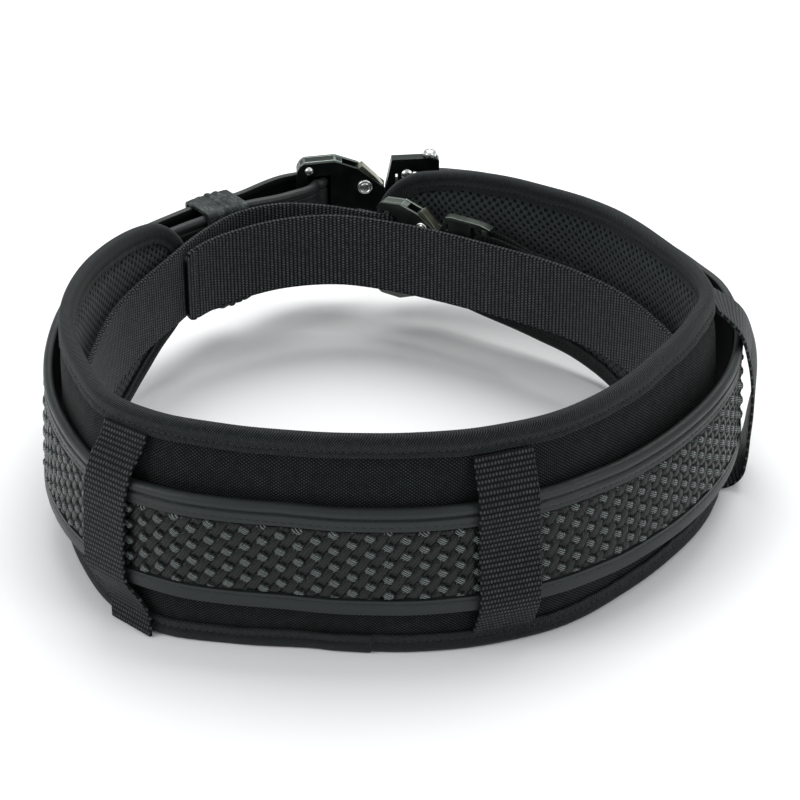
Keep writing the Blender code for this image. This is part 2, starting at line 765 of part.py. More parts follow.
def drilled_upright(flat, buckle, along, reach):
    """Turns a flat piece into a mesh and drills it from top to bottom for a bar's ends."""
    bpy.context.view_layer.update()
    graph = bpy.context.evaluated_depsgraph_get()
    mesh = bpy.data.meshes.new_from_object(flat.evaluated_get(graph))
    work = bmesh.new()
    work.from_mesh(mesh)
    bmesh.ops.remove_doubles(work, verts=work.verts, dist=0.00001)
    work.to_mesh(mesh)
    work.free()
    name, frame = flat.name, flat.matrix_world.copy()
    bpy.data.objects.remove(flat, do_unlink=True)
    solid = bpy.data.objects.new(name, mesh)
    solid.matrix_world = frame
    PARTS.objects.link(solid)
    unit = buckle["unit"] * MM
    drill_mesh = bpy.data.meshes.new(name + "_drill")
    work = bmesh.new()
    radius = (NECK_RADIUS + HOLE_PLAY) * unit
    bmesh.ops.create_cone(
        work, cap_ends=True, segments=ROUND_SIDES, radius1=radius, radius2=radius, depth=2 * reach * unit
    )
    work.to_mesh(drill_mesh)
    work.free()
    drill = bpy.data.objects.new(name + "_drill", drill_mesh)
    drill.matrix_world = buckle_frame(buckle, along)
    drill.hide_render = True
    drill.display_type = "WIRE"
    CUTTERS.objects.link(drill)
    cut = solid.modifiers.new("bar_holes", "BOOLEAN")
    cut.operation = "DIFFERENCE"
    cut.solver = "EXACT"
    cut.object = drill
    return solid


def bar_profile(inner, neck, head=None):
    """A bar between two arms, with thin necks, and heads where it passes through their corners."""
    reach = inner - GAP
    upper = [(0.0, inner + neck), (NECK_RADIUS, inner + neck), (NECK_RADIUS, reach), (BAR_RADIUS, reach)]
    if head:
        under = head + GAP
        crown = [(radius, under + rise) for radius, rise in BAR_HEAD]
        upper = crown + [(NECK_RADIUS, under)] + upper[2:]
    return upper + [(radius, -up) for radius, up in reversed(upper)]


def arm_end(left, top):
    """The round left end and the top of the fixed half, from its arm's lower edge to its shoulder."""
    foot = ARM_INNER + 0.4
    rise = top - foot
    steps = ((0, 0), (0.5, 0.25), (2, 0.58), (4.5, 0.82))
    return [(left + along, foot + share * rise) for along, share in steps] + [(-27.5, top)]


def plate_edge(buckle, cheek):
    """Upper half of a plate's outline. With a cheek, its arm comes down beside the folded belt."""
    left, top = buckle["left"], buckle["top"]
    arm = [(-30.2, ARM_INNER)]
    if cheek:
        arm += [(CHEEK_RIGHT, ARM_INNER), (CHEEK_RIGHT, CHEEK_INNER)]
        arm += [(left + 1.5, CHEEK_INNER), (left, CHEEK_INNER + 2)]
    else:
        arm += [(left + 4, ARM_INNER)]
    return arm + arm_end(left, top) + [(-14, top - 4.8), (1.8, 21.5)]


def core_edge(buckle):
    """Upper half of the core's outline, which holds the bar inside the fold."""
    left, top = buckle["left"], buckle["top"]
    arm = [(-30.2, ARM_INNER), (left + 4, ARM_INNER)]
    return arm + arm_end(left, top) + [(-23, top - 1.6), (-26, 29)]


def make_female(name, buckle):
    """Two plates and the core between them, with the bar that the belt is folded round."""
    rivet_holes = round_hole(LEVER_PIVOT, NECK_RADIUS + HOLE_PLAY)
    pin_holes = round_hole(PIN_AT, PIN_SHAFT + HOLE_PLAY) if name == "main" else []
    front = [mirrored(plate_edge(buckle, name == "main"))] + rivet_holes + pin_holes
    back = [mirrored(plate_edge(buckle, False))] + rivet_holes
    flat_piece(name + "_buckle_front_plate", buckle, front, PLATE_HALF, -PLATE_OUT, BLACK_METAL)
    flat_piece(name + "_buckle_back_plate", buckle, back, PLATE_HALF, PLATE_OUT, BLACK_METAL)
    core = [mirrored(core_edge(buckle))]
    core = flat_piece(name + "_buckle_core", buckle, core, CORE_HALF, 0.0, BLACK_METAL)
    drilled_upright(core, buckle, STRAP_BAR_AT, ARM_INNER + NECK_DEPTH + GAP)
    frame = buckle_frame(buckle, STRAP_BAR_AT)
    profile = bar_profile(ARM_INNER, NECK_DEPTH)
    turned_piece(name + "_buckle_strap_bar", frame, buckle["unit"], profile, PLATED)


def make_male(name, buckle):
    """The half with the tongue, and the bar between its arms."""
    opening = male_bar_along(buckle) - MALE_OPENING
    under = [(buckle["right"], ARM_INNER), (opening, ARM_INNER)]
    outlines = [mirrored(TONGUE_EDGE + buckle["arm"] + tuple(under))] + both_ways(MALE_SLOT)
    if name == "main":
        outlines += round_hole(STUD_AT, PIN_SHAFT + HOLE_PLAY)
    flat = flat_piece(name + "_buckle_male_frame", buckle, outlines, MALE_HALF, 0.0, BLACK_METAL)
    head, neck = buckle["head"], buckle["neck"]
    reach = head + 2 if head else ARM_INNER + neck + GAP
    drilled_upright(flat, buckle, male_bar_along(buckle), reach)
    frame = buckle_frame(buckle, male_bar_along(buckle))
    turned_piece(name + "_buckle_male_bar", frame, buckle["unit"], bar_profile(ARM_INNER, neck, head), PLATED)


def make_levers(name, buckle):
    """The two release levers, each on its rivet, which is its object's origin."""
    along, up = LEVER_PIVOT
    hole = round_hole(LEVER_PIVOT, NECK_RADIUS + HOLE_PLAY)
    for side, sign, index in (("top", 1, 0), ("bottom", -1, 1)):
        edge = both_ways(LEVER_EDGE)[index]
        lever = name + "_buckle_lever_" + side
        flat_piece(lever, buckle, [edge, hole[index]], LEVER_HALF, 0.0, LEVER_METAL, (along, sign * up))
        rivet = name + "_buckle_rivet_" + side
        frame = buckle_frame(buckle, along, 0.0, sign * up) @ FACING_FRONT
        turned_piece(rivet, frame, buckle["unit"], RIVET_TURNED, PLATED)


def make_studs(name, buckle):
    """Domed pins on the fixed half's arms, and domed studs through the loose half."""
    for side, sign in (("top", 1), ("bottom", -1)):
        for kind, place, profile in (("arm_pin", PIN_AT, PIN_TURNED), ("male_stud", STUD_AT, STUD_TURNED)):
            frame = buckle_frame(buckle, place[0], 0.0, sign * place[1]) @ FACING_FRONT
            turned_piece(name + "_buckle_" + kind + "_" + side, frame, buckle["unit"], profile, PLATED)


def make_buckle(name):
    buckle = BUCKLES[name]
    make_female(name, buckle)
    make_male(name, buckle)
    make_levers(name, buckle)
    if name == "main":
        make_studs(name, buckle)


clear_scene()
PARTS = new_collection("rigger_belt")
CUTTERS = new_collection("cutters")
pad = Track(PAD, PAD_COLUMNS)
make_pad(pad)
for side in LOOPS:
    make_loop(pad, side)
belt, belt_folds = belt_path()
make_leather_belt(belt, belt_folds)
make_weave_panel(belt, belt_folds)
make_keeper(belt)
waist = make_webbing()
make_anchor(waist)
for name in BUCKLES:
    make_buckle(name)
print("pad length", round(pad.length, 1), "belt length", round(belt.length, 1))
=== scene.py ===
# %% [markdown]
# # Dressing a rigger belt
#
# A rigger belt is a broad leather belt that runs round a padded back support. This lesson dresses
# a plain model of one, the frame, whose sizes are already right. Each step takes one piece of the
# real object, says what it is made of, and builds it where the frame has it. Nothing in the frame
# is moved: a new piece takes the place of a plain one, and rides on the same body.

import math

import bpy
import numpy as np
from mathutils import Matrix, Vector


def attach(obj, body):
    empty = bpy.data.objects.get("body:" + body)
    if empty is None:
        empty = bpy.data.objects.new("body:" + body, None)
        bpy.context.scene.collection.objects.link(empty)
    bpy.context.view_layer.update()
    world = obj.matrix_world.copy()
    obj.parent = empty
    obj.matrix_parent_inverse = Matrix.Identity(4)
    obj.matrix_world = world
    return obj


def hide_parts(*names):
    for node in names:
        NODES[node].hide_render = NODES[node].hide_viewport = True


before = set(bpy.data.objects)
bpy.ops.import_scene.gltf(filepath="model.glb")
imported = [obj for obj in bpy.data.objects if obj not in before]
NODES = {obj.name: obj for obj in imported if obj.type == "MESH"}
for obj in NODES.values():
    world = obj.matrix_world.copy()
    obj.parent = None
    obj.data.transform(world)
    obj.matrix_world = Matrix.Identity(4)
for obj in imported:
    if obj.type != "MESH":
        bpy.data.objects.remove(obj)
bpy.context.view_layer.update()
bpy.ops.object.select_all(action="DESELECT")

# %% [markdown]
# ## The camera
#
# The photograph was taken from straight in front and 30 degrees up, with a long lens. The camera
# is set first, since everything after it is judged through it. It looks at a point inside the
# belt's ring, 50 mm above the floor.

# %% Camera
MM = 0.001
CAMERA_UP = math.radians(30.0)
CAMERA_AWAY = 1.3
LOOKS_AT = Vector((-2.6, -25.75, 50.0)) * MM
LENS = 111.15
SENSOR = 36.0

back = Vector((0.0, -math.cos(CAMERA_UP), math.sin(CAMERA_UP)))
bpy.ops.object.camera_add(location=LOOKS_AT + back * CAMERA_AWAY)
camera = bpy.context.object
camera.rotation_euler = (math.radians(90.0) - CAMERA_UP, 0.0, 0.0)
camera.data.lens = LENS
camera.data.sensor_width = SENSOR
bpy.context.scene.camera = camera
print("camera at", [round(c, 3) for c in camera.location])

# %% [markdown]
# ## The studio
#
# The belt stands on white paper in soft light. Nearly everything on it is black, so its forms show
# only by what they reflect: a broad light above and behind draws the bright line along the rolled
# edge of the leather, and a panel on each side of the camera lifts the faces. A pale sky fills the
# rest. The Standard view shows colours as they are, so white paper comes out close to white.

# %% Floor and lights
FLOOR_SIZE = 8.0
PANELS = {
    # place, width in metres and power in watts
    "panel_above": ((0.1, 0.7, 1.5), 1.4, 24.0),
    "panel_left": ((-1.3, -0.7, 0.9), 0.9, 9.0),
    "panel_right": ((1.2, -0.9, 0.8), 0.8, 6.0),
}
SKY = {"Color": (0.94, 0.98, 1.0, 1.0), "Strength": 0.55}

bpy.context.scene.view_settings.view_transform = "Standard"
bpy.ops.mesh.primitive_plane_add(size=FLOOR_SIZE, location=(0.0, 0.0, 0.0))
floor = bpy.context.object
floor.name = "studio_floor"


def soft_light(name, place, size, power):
    """A square panel of light that points at the belt."""
    bpy.ops.object.light_add(type="AREA", location=place)
    lamp = bpy.context.object
    lamp.name = name
    lamp.data.size = size
    lamp.data.energy = power
    lamp.rotation_mode = "QUATERNION"
    lamp.rotation_quaternion = (Vector(place) - LOOKS_AT).to_track_quat("Z", "Y")


for name, settings in PANELS.items():
    soft_light(name, *settings)
world = bpy.data.worlds.new("studio")
bpy.context.scene.world = world
world.use_nodes = True
for key, value in SKY.items():
    world.node_tree.nodes["Background"].inputs[key].default_value = value

# %% [markdown]
# ## Tools for materials
#
# Colours are written as the hex values that a colour picker shows, and a shader wants them in
# linear light, so one function turns them. A second one adds a node with its settings and links.
# Its inputs are filled in order or by name, each with a number, a colour or another node.


# %% Colour and node helpers
def linear(code):
    """An sRGB hex colour as the linear colour that a shader expects."""
    parts = [int(code[i : i + 2], 16) / 255.0 for i in (1, 3, 5)]
    return [c / 12.92 if c <= 0.04045 else ((c + 0.055) / 1.055) ** 2.4 for c in parts] + [1.0]


def feed(tree, socket, value):
    """Gives an input a plain value, another node's socket, or a node's first output in use."""
    if isinstance(value, bpy.types.Node):
        value = next(output for output in value.outputs if output.enabled)
    if isinstance(value, bpy.types.NodeSocket):
        tree.links.new(value, socket)
    elif value is not None:
        socket.default_value = value


def add(tree, kind, *values, **named):
    """One node of a material. A name in small letters is a property, and any other is an input."""
    node = tree.nodes.new("ShaderNode" + kind)
    for key in [key for key in named if key.islower()]:
        setattr(node, key, named.pop(key))
    for key, value in [*enumerate(values), *named.items()]:
        feed(tree, node.inputs[key], value)
    return node


def new_material(name, colour, roughness, **more):
    """A material, its tree and its shader with its own values. Patterns are linked to it later."""
    made = bpy.data.materials.new(name)
    made.use_nodes = True
    shader = made.node_tree.nodes["Principled BSDF"]
    shader.inputs["Base Color"].default_value = linear(colour)
    for key, value in {"Roughness": roughness, **more}.items():
        shader.inputs[key.replace("_", " ")].default_value = value
    return made, made.node_tree, shader


print("black cloth's #040606 in linear light:", [round(c, 5) for c in linear("#040606")[:3]])

# %% [markdown]
# ## Patterns
#
# Weaves and grain are drawn by nodes. Each strap will have a map of its own with the length along
# it and the height across it, in metres, and waves on that map repeat at a thread's real spacing.
# A pattern steers the colour, and as bump it also tilts the light on the surface.


# %% Waves, unevenness and bump
def along_and_across(tree):
    """Length along a band and height across it, in metres, from the band's own map."""
    split = add(tree, "SeparateXYZ", add(tree, "UVMap", uv_map="run"))
    return split.outputs[0], split.outputs[1]


def stripes(tree, value, pitch):
    """A smooth wave from -1 to 1 that repeats each pitch."""
    turns = add(tree, "Math", value, 2 * math.pi / pitch, operation="MULTIPLY")
    return add(tree, "Math", turns, operation="SINE")


def share(tree, wave, low=-1.0, high=1.0):
    """A value between two limits as a smooth share from 0 to 1."""
    return add(tree, "MapRange", wave, low, high, interpolation_type="SMOOTHSTEP")


def fuzz(tree, scale, detail=2.0):
    """Unevenness from 0 to 1 on the object, its scale in features a metre."""
    return add(tree, "TexNoise", add(tree, "TexCoord").outputs["Object"], Scale=scale, Detail=detail)


def wander(tree, shader, unevenness, low, high, gloss, dull):
    """Lets the roughness drift between two values, as unevenness does between low and high."""
    feed(tree, shader.inputs["Roughness"], add(tree, "MapRange", unevenness, low, high, gloss, dull))


def raised(tree, shader, height, depth, finer=None):
    """Links a pattern of heights to a shader as bump, its depth in metres, over a finer bump."""
    bump = add(tree, "Bump", Strength=1.0, Distance=depth, Height=height, Normal=finer)
    feed(tree, shader.inputs["Normal"], bump)
    return bump


print("patterns read the map named run, in metres")

# %% [markdown]
# ## Paper
#
# The belt stands on a sheet of white paper. Paper is a mat of fibres, so it scatters light evenly
# and needs no pattern here, and it takes the belt's soft shadow.

# %% White paper
# Matt white paper: a fibre-rough sheet with no gloss
paper = new_material("matt_white_paper", "#fafafa", 0.9, Specular_IOR_Level=0.1)[0]
floor.data.materials.append(paper)
print("floor:", paper.name)

# %% [markdown]
# ## Twill
#
# Black fabrics meet all over this belt, and the eye tells them apart by their weave. The cover is
# a twill: its threads step over each other in fine diagonals. A black cloth reflects little, so
# its pattern runs between two dark greys, and a little sheen stands for the loose fibres on it.


# %% Twill
def cloth(name, dark, light, roughness, gloss, sheen=0.04):
    """A woven material, with the input that its pattern steers from dark to light."""
    own = dict(Specular_IOR_Level=gloss, Sheen_Weight=sheen, Sheen_Roughness=0.5)
    made, tree, shader = new_material(name, dark, roughness, **own)
    mix = add(tree, "Mix", data_type="RGBA", A=linear(dark), B=linear(light))
    feed(tree, shader.inputs["Base Color"], mix)
    return made, tree, shader, mix.inputs["Factor"]


def slanted(tree, along, across, lean, pitch):
    """A wave whose lines lean: pitch is measured along the band's width, in metres."""
    return stripes(tree, add(tree, "Math", along, lean, across, operation="MULTIPLY_ADD"), pitch)


# Polyester twill: two leaning sets of threads 1.6 mm apart, drawn coarser than real ones so that
# they show, in dull black that greys where light grazes
black_twill, tree, shader, mix = cloth("black_polyester_twill", "#040606", "#3c4545", 0.8, 0.1)
along, across = along_and_across(tree)
lines = share(tree, slanted(tree, along, across, 0.8, 1.68 * MM), -0.7, 0.9)
floats = share(tree, slanted(tree, along, across, -0.7, 1.6 * MM), -1.0, 0.6)
threads = add(tree, "Math", lines, floats, operation="MULTIPLY")
feed(tree, mix, add(tree, "Math", threads, fuzz(tree, 260.0), operation="MULTIPLY"))
raised(tree, shader, threads, 0.3 * MM)
print("twill:", black_twill.name)

# %% [markdown]
# ## Tape and net
#
# The tape on the pad's edge is a herringbone, whose ribs lean one way and then the other. The inner
# face is a spacer net, two knitted skins held apart by upright threads, with rows of holes.

# %% Tape and net
# Herringbone tape: ribs 1.3 mm apart that turn back every 2.5 mm, with a little more sheen
binding_tape, tree, shader, mix = cloth("herringbone_tape", "#040505", "#3a4141", 0.75, 0.07, 0.1)
along, across = along_and_across(tree)
turned = add(tree, "Math", across, 2.5 * MM, operation="PINGPONG")
ribs = share(tree, stripes(tree, add(tree, "Math", along, turned, operation="ADD"), 1.3 * MM))
feed(tree, mix, add(tree, "Math", ribs, fuzz(tree, 600.0), operation="MULTIPLY"))
raised(tree, shader, ribs, 0.25 * MM)

# Spacer net: round holes 5.3 mm apart in rows 2.45 mm apart, each row half a step along. Two
# leaning waves add up to them, and a fine one draws the knitted loops between
spacer_net, tree, shader, mix = cloth("spacer_net", "#010202", "#3a4343", 0.7, 0.12, 0.1)
along, across = along_and_across(tree)
leans = [add(tree, "Math", across, lean, along, operation="MULTIPLY_ADD") for lean in (1.08, -1.08)]
one, two = [stripes(tree, lean, 5.3 * MM) for lean in leans]
yarn = share(tree, add(tree, "Math", one, two, operation="ADD"), -1.3, 0.5)
loops = share(tree, stripes(tree, along, 0.9 * MM), -1.6, 1.0)
feed(tree, mix, add(tree, "Math", yarn, loops, operation="MULTIPLY"))
raised(tree, shader, yarn, 1.0 * MM)
print("tape and net:", binding_tape.name, spacer_net.name)

# %% [markdown]
# ## Webbing
#
# Nylon webbing is woven so thick that each weft thread stands up as a rib across it, about 2.5 mm
# apart. The warp cuts each rib into dashes about 1.6 mm apart, and each row of dashes is half a
# step along from the last. The belt inside the pad, the loops and the hidden tab are one weave in
# three weights.


# %% Three webbings
def dashes(tree, along, across, row, dash):
    """Rows of short raised dashes, every other row half a step along."""
    rows = add(tree, "Math", add(tree, "Math", along, row, operation="DIVIDE"), operation="FLOOR")
    odd = add(tree, "Math", rows, 1.0, operation="PINGPONG")
    shifted = add(tree, "Math", odd, dash / 2, across, operation="MULTIPLY_ADD")
    ups = add(tree, "Math", along, row / 2, operation="PINGPONG")
    sides = add(tree, "Math", shifted, dash / 2, operation="PINGPONG")
    tall, wide = share(tree, ups, row * 0.06, row * 0.42), share(tree, sides, 0.0, dash * 0.42)
    return add(tree, "Math", tall, wide, operation="MULTIPLY")


def webbing_cloth(name, dark, light, roughness, gloss, row, dash, depth):
    """Webbing with its rows of dashes. Row, dash and depth are in millimetres."""
    made, tree, shader, mix = cloth(name, dark, light, roughness, gloss)
    spots = dashes(tree, *along_and_across(tree), row * MM, dash * MM)
    # The light colour on the crown of each dash is a painted highlight
    feed(tree, mix, add(tree, "Math", spots, fuzz(tree, 400.0), operation="MULTIPLY"))
    raised(tree, shader, spots, depth * MM)
    return made


# Nylon belt webbing: charcoal, with a painted highlight of pale grey on the crown of each dash
nylon_webbing = webbing_cloth("ribbed_nylon_webbing", "#040505", "#7a8486", 0.5, 0.14, 2.35, 1.6, 1.5)
# Polyester loop webbing: blacker and harder pressed
loop_webbing = webbing_cloth("dashed_loop_webbing", "#020303", "#565e60", 0.45, 0.08, 2.7, 1.66, 0.7)
# Tab webbing: flat, matt and black
tab_webbing = webbing_cloth("matt_tab_webbing", "#040505", "#1c2021", 0.8, 0.1, 2.8, 1.5, 0.3)
print("webbings:", nylon_webbing.name, loop_webbing.name, tab_webbing.name)

# %% [markdown]
# ## Leather
#
# The belt is finished cowhide: smooth black pigment over a fine grain, with a satin gloss that
# shows as long soft streaks. Its inner side is left raw. The grain is a pattern of small cells.


# %% Cowhide
def leather(name, colour, dull, gloss, shine, grain):
    """Finished leather: its gloss wanders from dull to gloss, its grain is in features a metre."""
    made, tree, shader = new_material(name, colour, dull, Specular_IOR_Level=shine)
    wander(tree, shader, fuzz(tree, 45.0, 4.0), 0.35, 0.65, gloss, dull)
    cells = add(tree, "TexVoronoi", add(tree, "TexCoord").outputs["Object"], Scale=grain)
    return made, tree, shader, raised(tree, shader, cells, 0.12 * MM)


# Finished cowhide: charcoal, its satin gloss in long soft streaks
belt_leather = leather("finished_cowhide", "#202524", 0.5, 0.38, 0.3, 1300.0)[0]

# Flesh side: unfinished and fibrous, so it gives back next to no light
flesh_side, tree, shader = new_material("flesh_side_of_hide", "#0b0d0d", 0.95, Specular_IOR_Level=0.05)
raised(tree, shader, fuzz(tree, 1800.0), 0.1 * MM)
print("hide:", belt_leather.name, flesh_side.name)

# %% [markdown]
# ## Plaited and cracked leather
#
# The woven strips are glossier than the belt and carry fine ridges along them. The keeper is older
# looking: its finish has cracked into small plates with dark seams between.

# %% Strips and keeper
# Plaited hide strips: ridged along their length, with a painted highlight of pale grey on the
# ridges of the short floats, and painted shade that darkens each strip where it lies low. A second
# map holds which strip is on top and the place across its ridges
strip_leather, tree, shader, fine = leather("plaited_hide_strips", "#161a1a", 0.4, 0.28, 0.3, 900.0)
strand = add(tree, "SeparateXYZ", add(tree, "UVMap", uv_map="strand"))
ridge = share(tree, stripes(tree, strand.outputs[1], 1.0), 0.05, 0.95)
short = share(tree, strand.outputs[0], 0.3, 0.8)
# Painted highlight: pale grey on the ridges of the short floats, where they stand on top
painted_ridge_highlight = add(tree, "Math", ridge, short, operation="MULTIPLY")
# Painted shade: the lower a strip lies, the nearer its colour goes to black
level = share(tree, add(tree, "Math", strand.outputs[0], operation="ABSOLUTE"), 0.1, 0.75)
painted_dip_shade = add(tree, "Mix", data_type="RGBA", Factor=level, A=linear("#020303"), B=linear("#121615"))
hue = add(tree, "Mix", data_type="RGBA", Factor=painted_ridge_highlight, A=painted_dip_shade, B=linear("#868f8d"))
feed(tree, shader.inputs["Base Color"], hue)
raised(tree, shader, ridge, 0.22 * MM, finer=fine)

# Cracked hide: plates about 3 mm across, paler where they stand clear of the dark seams
keeper_leather, tree, shader, fine = leather("cracked_hide", "#262b2a", 0.6, 0.45, 0.25, 900.0)
place = add(tree, "TexCoord").outputs["Object"]
plates = add(tree, "TexVoronoi", place, feature="DISTANCE_TO_EDGE", Scale=330.0)
worn = share(tree, fuzz(tree, 170.0, 4.0), 0.38, 0.62)
seams = add(tree, "Math", share(tree, plates, 0.0, 0.14), worn, operation="MULTIPLY")
hue = add(tree, "Mix", data_type="RGBA", Factor=seams, A=linear("#1e2322"), B=linear("#434b49"))
feed(tree, shader.inputs["Base Color"], hue)
raised(tree, shader, seams, 0.2 * MM, finer=fine)
print("leathers:", strip_leather.name, keeper_leather.name)

# %% [markdown]
# ## Metals
#
# The buckles are forged alloy under a black coat. Each bevelled edge gets a pale green-grey finish
# of its own, a painted highlight that draws the edges. Pins, rivets and bars are plated steel. The
# release levers are a bare bronze-coloured alloy.


# %% Coated, plated and bare metal
def metal(name, colour, dull, gloss, speckle):
    """A metal whose roughness wanders between two values, with fine dents in its surface."""
    made, tree, shader = new_material(name, colour, dull, Metallic=1.0)
    wander(tree, shader, fuzz(tree, 120.0, 5.0), 0.3, 0.7, gloss, dull)
    raised(tree, shader, fuzz(tree, speckle), 0.03 * MM)
    return made


# Black coat on forged alloy: a hard satin skin that reflects like dark metal
coated_alloy = metal("black_coated_alloy", "#343837", 0.45, 0.3, 1500.0)
# The same coat rubbed a shade paler all over, as on the waist buckle
rubbed_alloy = metal("rubbed_coated_alloy", "#565c57", 0.45, 0.3, 1500.0)
# Painted highlight on the coat: a pale green-grey line that draws each bevelled edge
painted_edge_highlight = metal("coated_edge_painted_highlight", "#7d877f", 0.45, 0.3, 1500.0)
# Plated steel: turned smooth and plated, so small heads give a bright point of light
plated_steel = metal("plated_steel", "#d9dbd8", 0.36, 0.22, 900.0)
# Bare bronze alloy: cast and tumbled, warm grey with a soft shine
bare_bronze = metal("bare_bronze_alloy", "#a9a893", 0.4, 0.25, 900.0)
print("metals:", *(m.name for m in (coated_alloy, rubbed_alloy, painted_edge_highlight, plated_steel, bare_bronze)))

# %% [markdown]
# ## The run of the pad
#
# A strap is easiest to model flat and then to bend. The Curve modifier does that on a level run.
# Here the pad and the belt lean and dip, so the same bend is worked out in code. The frame's mesh
# has the shape of each band but not its run, so the rows that it was lofted through are repeated
# here, in millimetres: place in plan, the heights of both edges, and how far the lower edge stands
# out past the upper one.

# %% Rows of the pad
PLAN_MIDDLE = (2.6, 25.75)
PAD_HEIGHT = 119.0 * MM
PAD_COLUMNS = ("x", "y", "top", "bottom", "foot")
PAD_ROWS = (
    (-124, 127, 97, 28, 0), (-139, 110, 101, 25, 0), (-148, 94, 105, 15, 1), (-156, 74, 109, 6, 2),
    (-165, 45, 113, 0, 2), (-171, 12, 116, 0, 3), (-170, -42, 118.5, 0, 4), (-158, -82, 119, 0, 4),
    (-139, -118, 119, 0, 4), (-116, -135, 119, 0, 7), (-80, -147, 119, 0, 4), (-40, -154, 119, 0, 1),
    (5, -155, 119, 0, 3), (46, -145, 117.5, 0, 6), (78, -129, 116.5, 0, 7.5),
    (106, -104, 116.5, 0, 7.5), (130, -72, 117.5, 0, 10), (154, -28, 118.5, 0, 11),
    (161, -4, 118, 0, 10), (159, 14, 117.5, 0, 9), (152, 38, 116.5, 0, 8), (141, 62, 115.5, 0, 6),
    (129, 86, 114.5, 2, 3), (116.5, 106, 113, 7, 1), (103, 121, 112, 11, 0), (82, 138, 111, 14, 0),
    (50, 159, 109, 19, 0), (23, 175, 103, 24, 0), (-13, 181, 97, 30, 0),
)
print("pad rows:", len(PAD_ROWS))

# %% [markdown]
# ## The run of the leather belt
#
# The belt is one long band. Its loose end lies inside its outer strand and is folded round the
# buckle's bar. From there it runs round the whole pad to the other half of the buckle, folds again
# and is sewn to itself. Each row has its place, the height of its lower edge, and its lean.

# %% Rows of the leather belt
BELT_HEIGHT = 58.0 * MM
BELT_COLUMNS = ("x", "y", "base", "foot")
FOLDED_STRAND = (
    (-155, 96, 28, 0), (-143, 114, 28, 0), (-131, 130, 28, 0), (-111, 149, 28, 0), (-91, 166, 28, 0),
    (-66, 179, 28, 0), (-51, 191, 28, 0),
)
OUTER_STRAND = (
    (-65.5, 205.3, 28, 0), (-95, 179.2, 28, 0), (-121, 159, 28, 0), (-147, 131, 28, 0),
    (-163, 103, 28, 0), (-174, 68, 28, 0), (-181, 28, 27.5, 1), (-182, -14, 27, 3), (-176, -55, 27, 5),
    (-160.4, -95.3, 26.5, 5), (-138.9, -127.9, 28, 2), (-107, -147.5, 28.5, 2), (-58, -156.5, 27, 1),
    (-5, -160.5, 26, 2), (43, -153.5, 26, 3), (83.4, -135.4, 26, 5), (118, -108, 26, 5),
    (146, -75, 26.5, 5), (165, -41, 27, 4), (176.5, -2, 27.5, 3), (178.5, 37, 28, 2), (172, 70, 28, 0),
    (161.5, 91, 28, 0), (150, 112, 28, 0), (135, 137, 28, 0), (118, 159, 28, 0), (101, 176, 28, 0),
    (84, 188.5, 28, 0), (62, 200.5, 28, 0), (39, 210, 28, 0),
)
RIGHT_RETURN = ((33, 201, 28, 0), (54, 195.5, 28, 0), (78, 183.5, 28, 0))
print("belt rows:", len(FOLDED_STRAND), len(OUTER_STRAND), len(RIGHT_RETURN))

# %% [markdown]
# ## The run of the webbing belt
#
# The inner belt starts at its own smaller buckle, lies against the pad all the way round, passes
# inside the buckle and ends in a free tail in front of the pad's opening.

# %% Rows of the webbing belt
WEBBING_HEIGHT = 44.5 * MM
WEBBING_COLUMNS = ("x", "y", "base")
WEBBING_ROUND = (
    (-24, 159, 40.05), (-45, 164, 41), (-70, 165, 41.5), (-92, 154, 41.5), (-107, 136, 41.5),
    (-118, 117, 41.5), (-129, 94, 41), (-140, 71, 40.5), (-150, 45, 40), (-157, 12, 39.5),
    (-158, -40, 39), (-145, -76, 38.5), (-129, -110, 38.5), (-110, -124, 38.5), (-77, -137, 38.5),
    (-38, -144, 38.5), (4, -145, 38.5), (42, -136, 38.5), (73, -121, 38.5), (99, -96, 38.5),
    (121, -65, 38.5), (140, -24, 38.5), (143, 6, 39), (135, 28, 39.5), (118, 58, 40), (99, 80, 40),
    (78, 97, 40), (50, 115, 40), (22, 131, 40), (-8, 143, 40.8), (-36, 149, 41.6), (-68, 145, 41),
    (-90, 134, 40.3), (-107, 121, 39.6), (-119.5, 105.5, 39),
)
print("webbing rows:", len(WEBBING_ROUND))

# %% [markdown]
# ## Smooth paths
#
# Between the rows a path is a smooth curve. Each stretch is a cubic that meets its neighbours with
# the same slope, so a strap bends evenly through every row and never kinks.


# %% Smooth paths
def in_plan(place):
    """A place in the tables' millimetres as metres in plan, about the frame's middle."""
    return (np.array(place[:2]) - PLAN_MIDDLE) * MM


def lengths_along(points):
    """The length of a path up to each of its points."""
    return np.concatenate([[0.0], np.cumsum(np.hypot(*np.diff(points, axis=0).T))])


def headings(points, lengths):
    """The way a path runs at each of its points."""
    ahead = np.gradient(points, lengths, axis=0)
    return ahead / np.hypot(*ahead.T)[:, None]


def smooth_rows(rows, step):
    """Rows of numbers turned into close rows on a smooth curve, read along their first two."""
    knots = lengths_along(rows[:, :2])
    slopes = np.gradient(rows, knots, axis=0)
    fine = np.linspace(0.0, knots[-1], int(knots[-1] / step) + 2)
    piece = np.clip(np.searchsorted(knots, fine, "right") - 1, 0, len(rows) - 2)
    span = (knots[piece + 1] - knots[piece])[:, None]
    t = (fine - knots[piece])[:, None] / span
    return (
        (1 + 2 * t) * (1 - t) ** 2 * rows[piece]
        + t * (1 - t) ** 2 * span * slopes[piece]
        + t**2 * (3 - 2 * t) * rows[piece + 1]
        + t**2 * (t - 1) * span * slopes[piece + 1]
    )


print("pad path:", len(smooth_rows(np.array(PAD_ROWS, float), 1.0)), "close rows")

# %% [markdown]
# ## A band and its bend
#
# A flat piece has its length along X, its thickness along Y and its width along Z. Bending it puts
# each corner at its length along the path, its distance out to the path's right and its height
# above the lower edge.


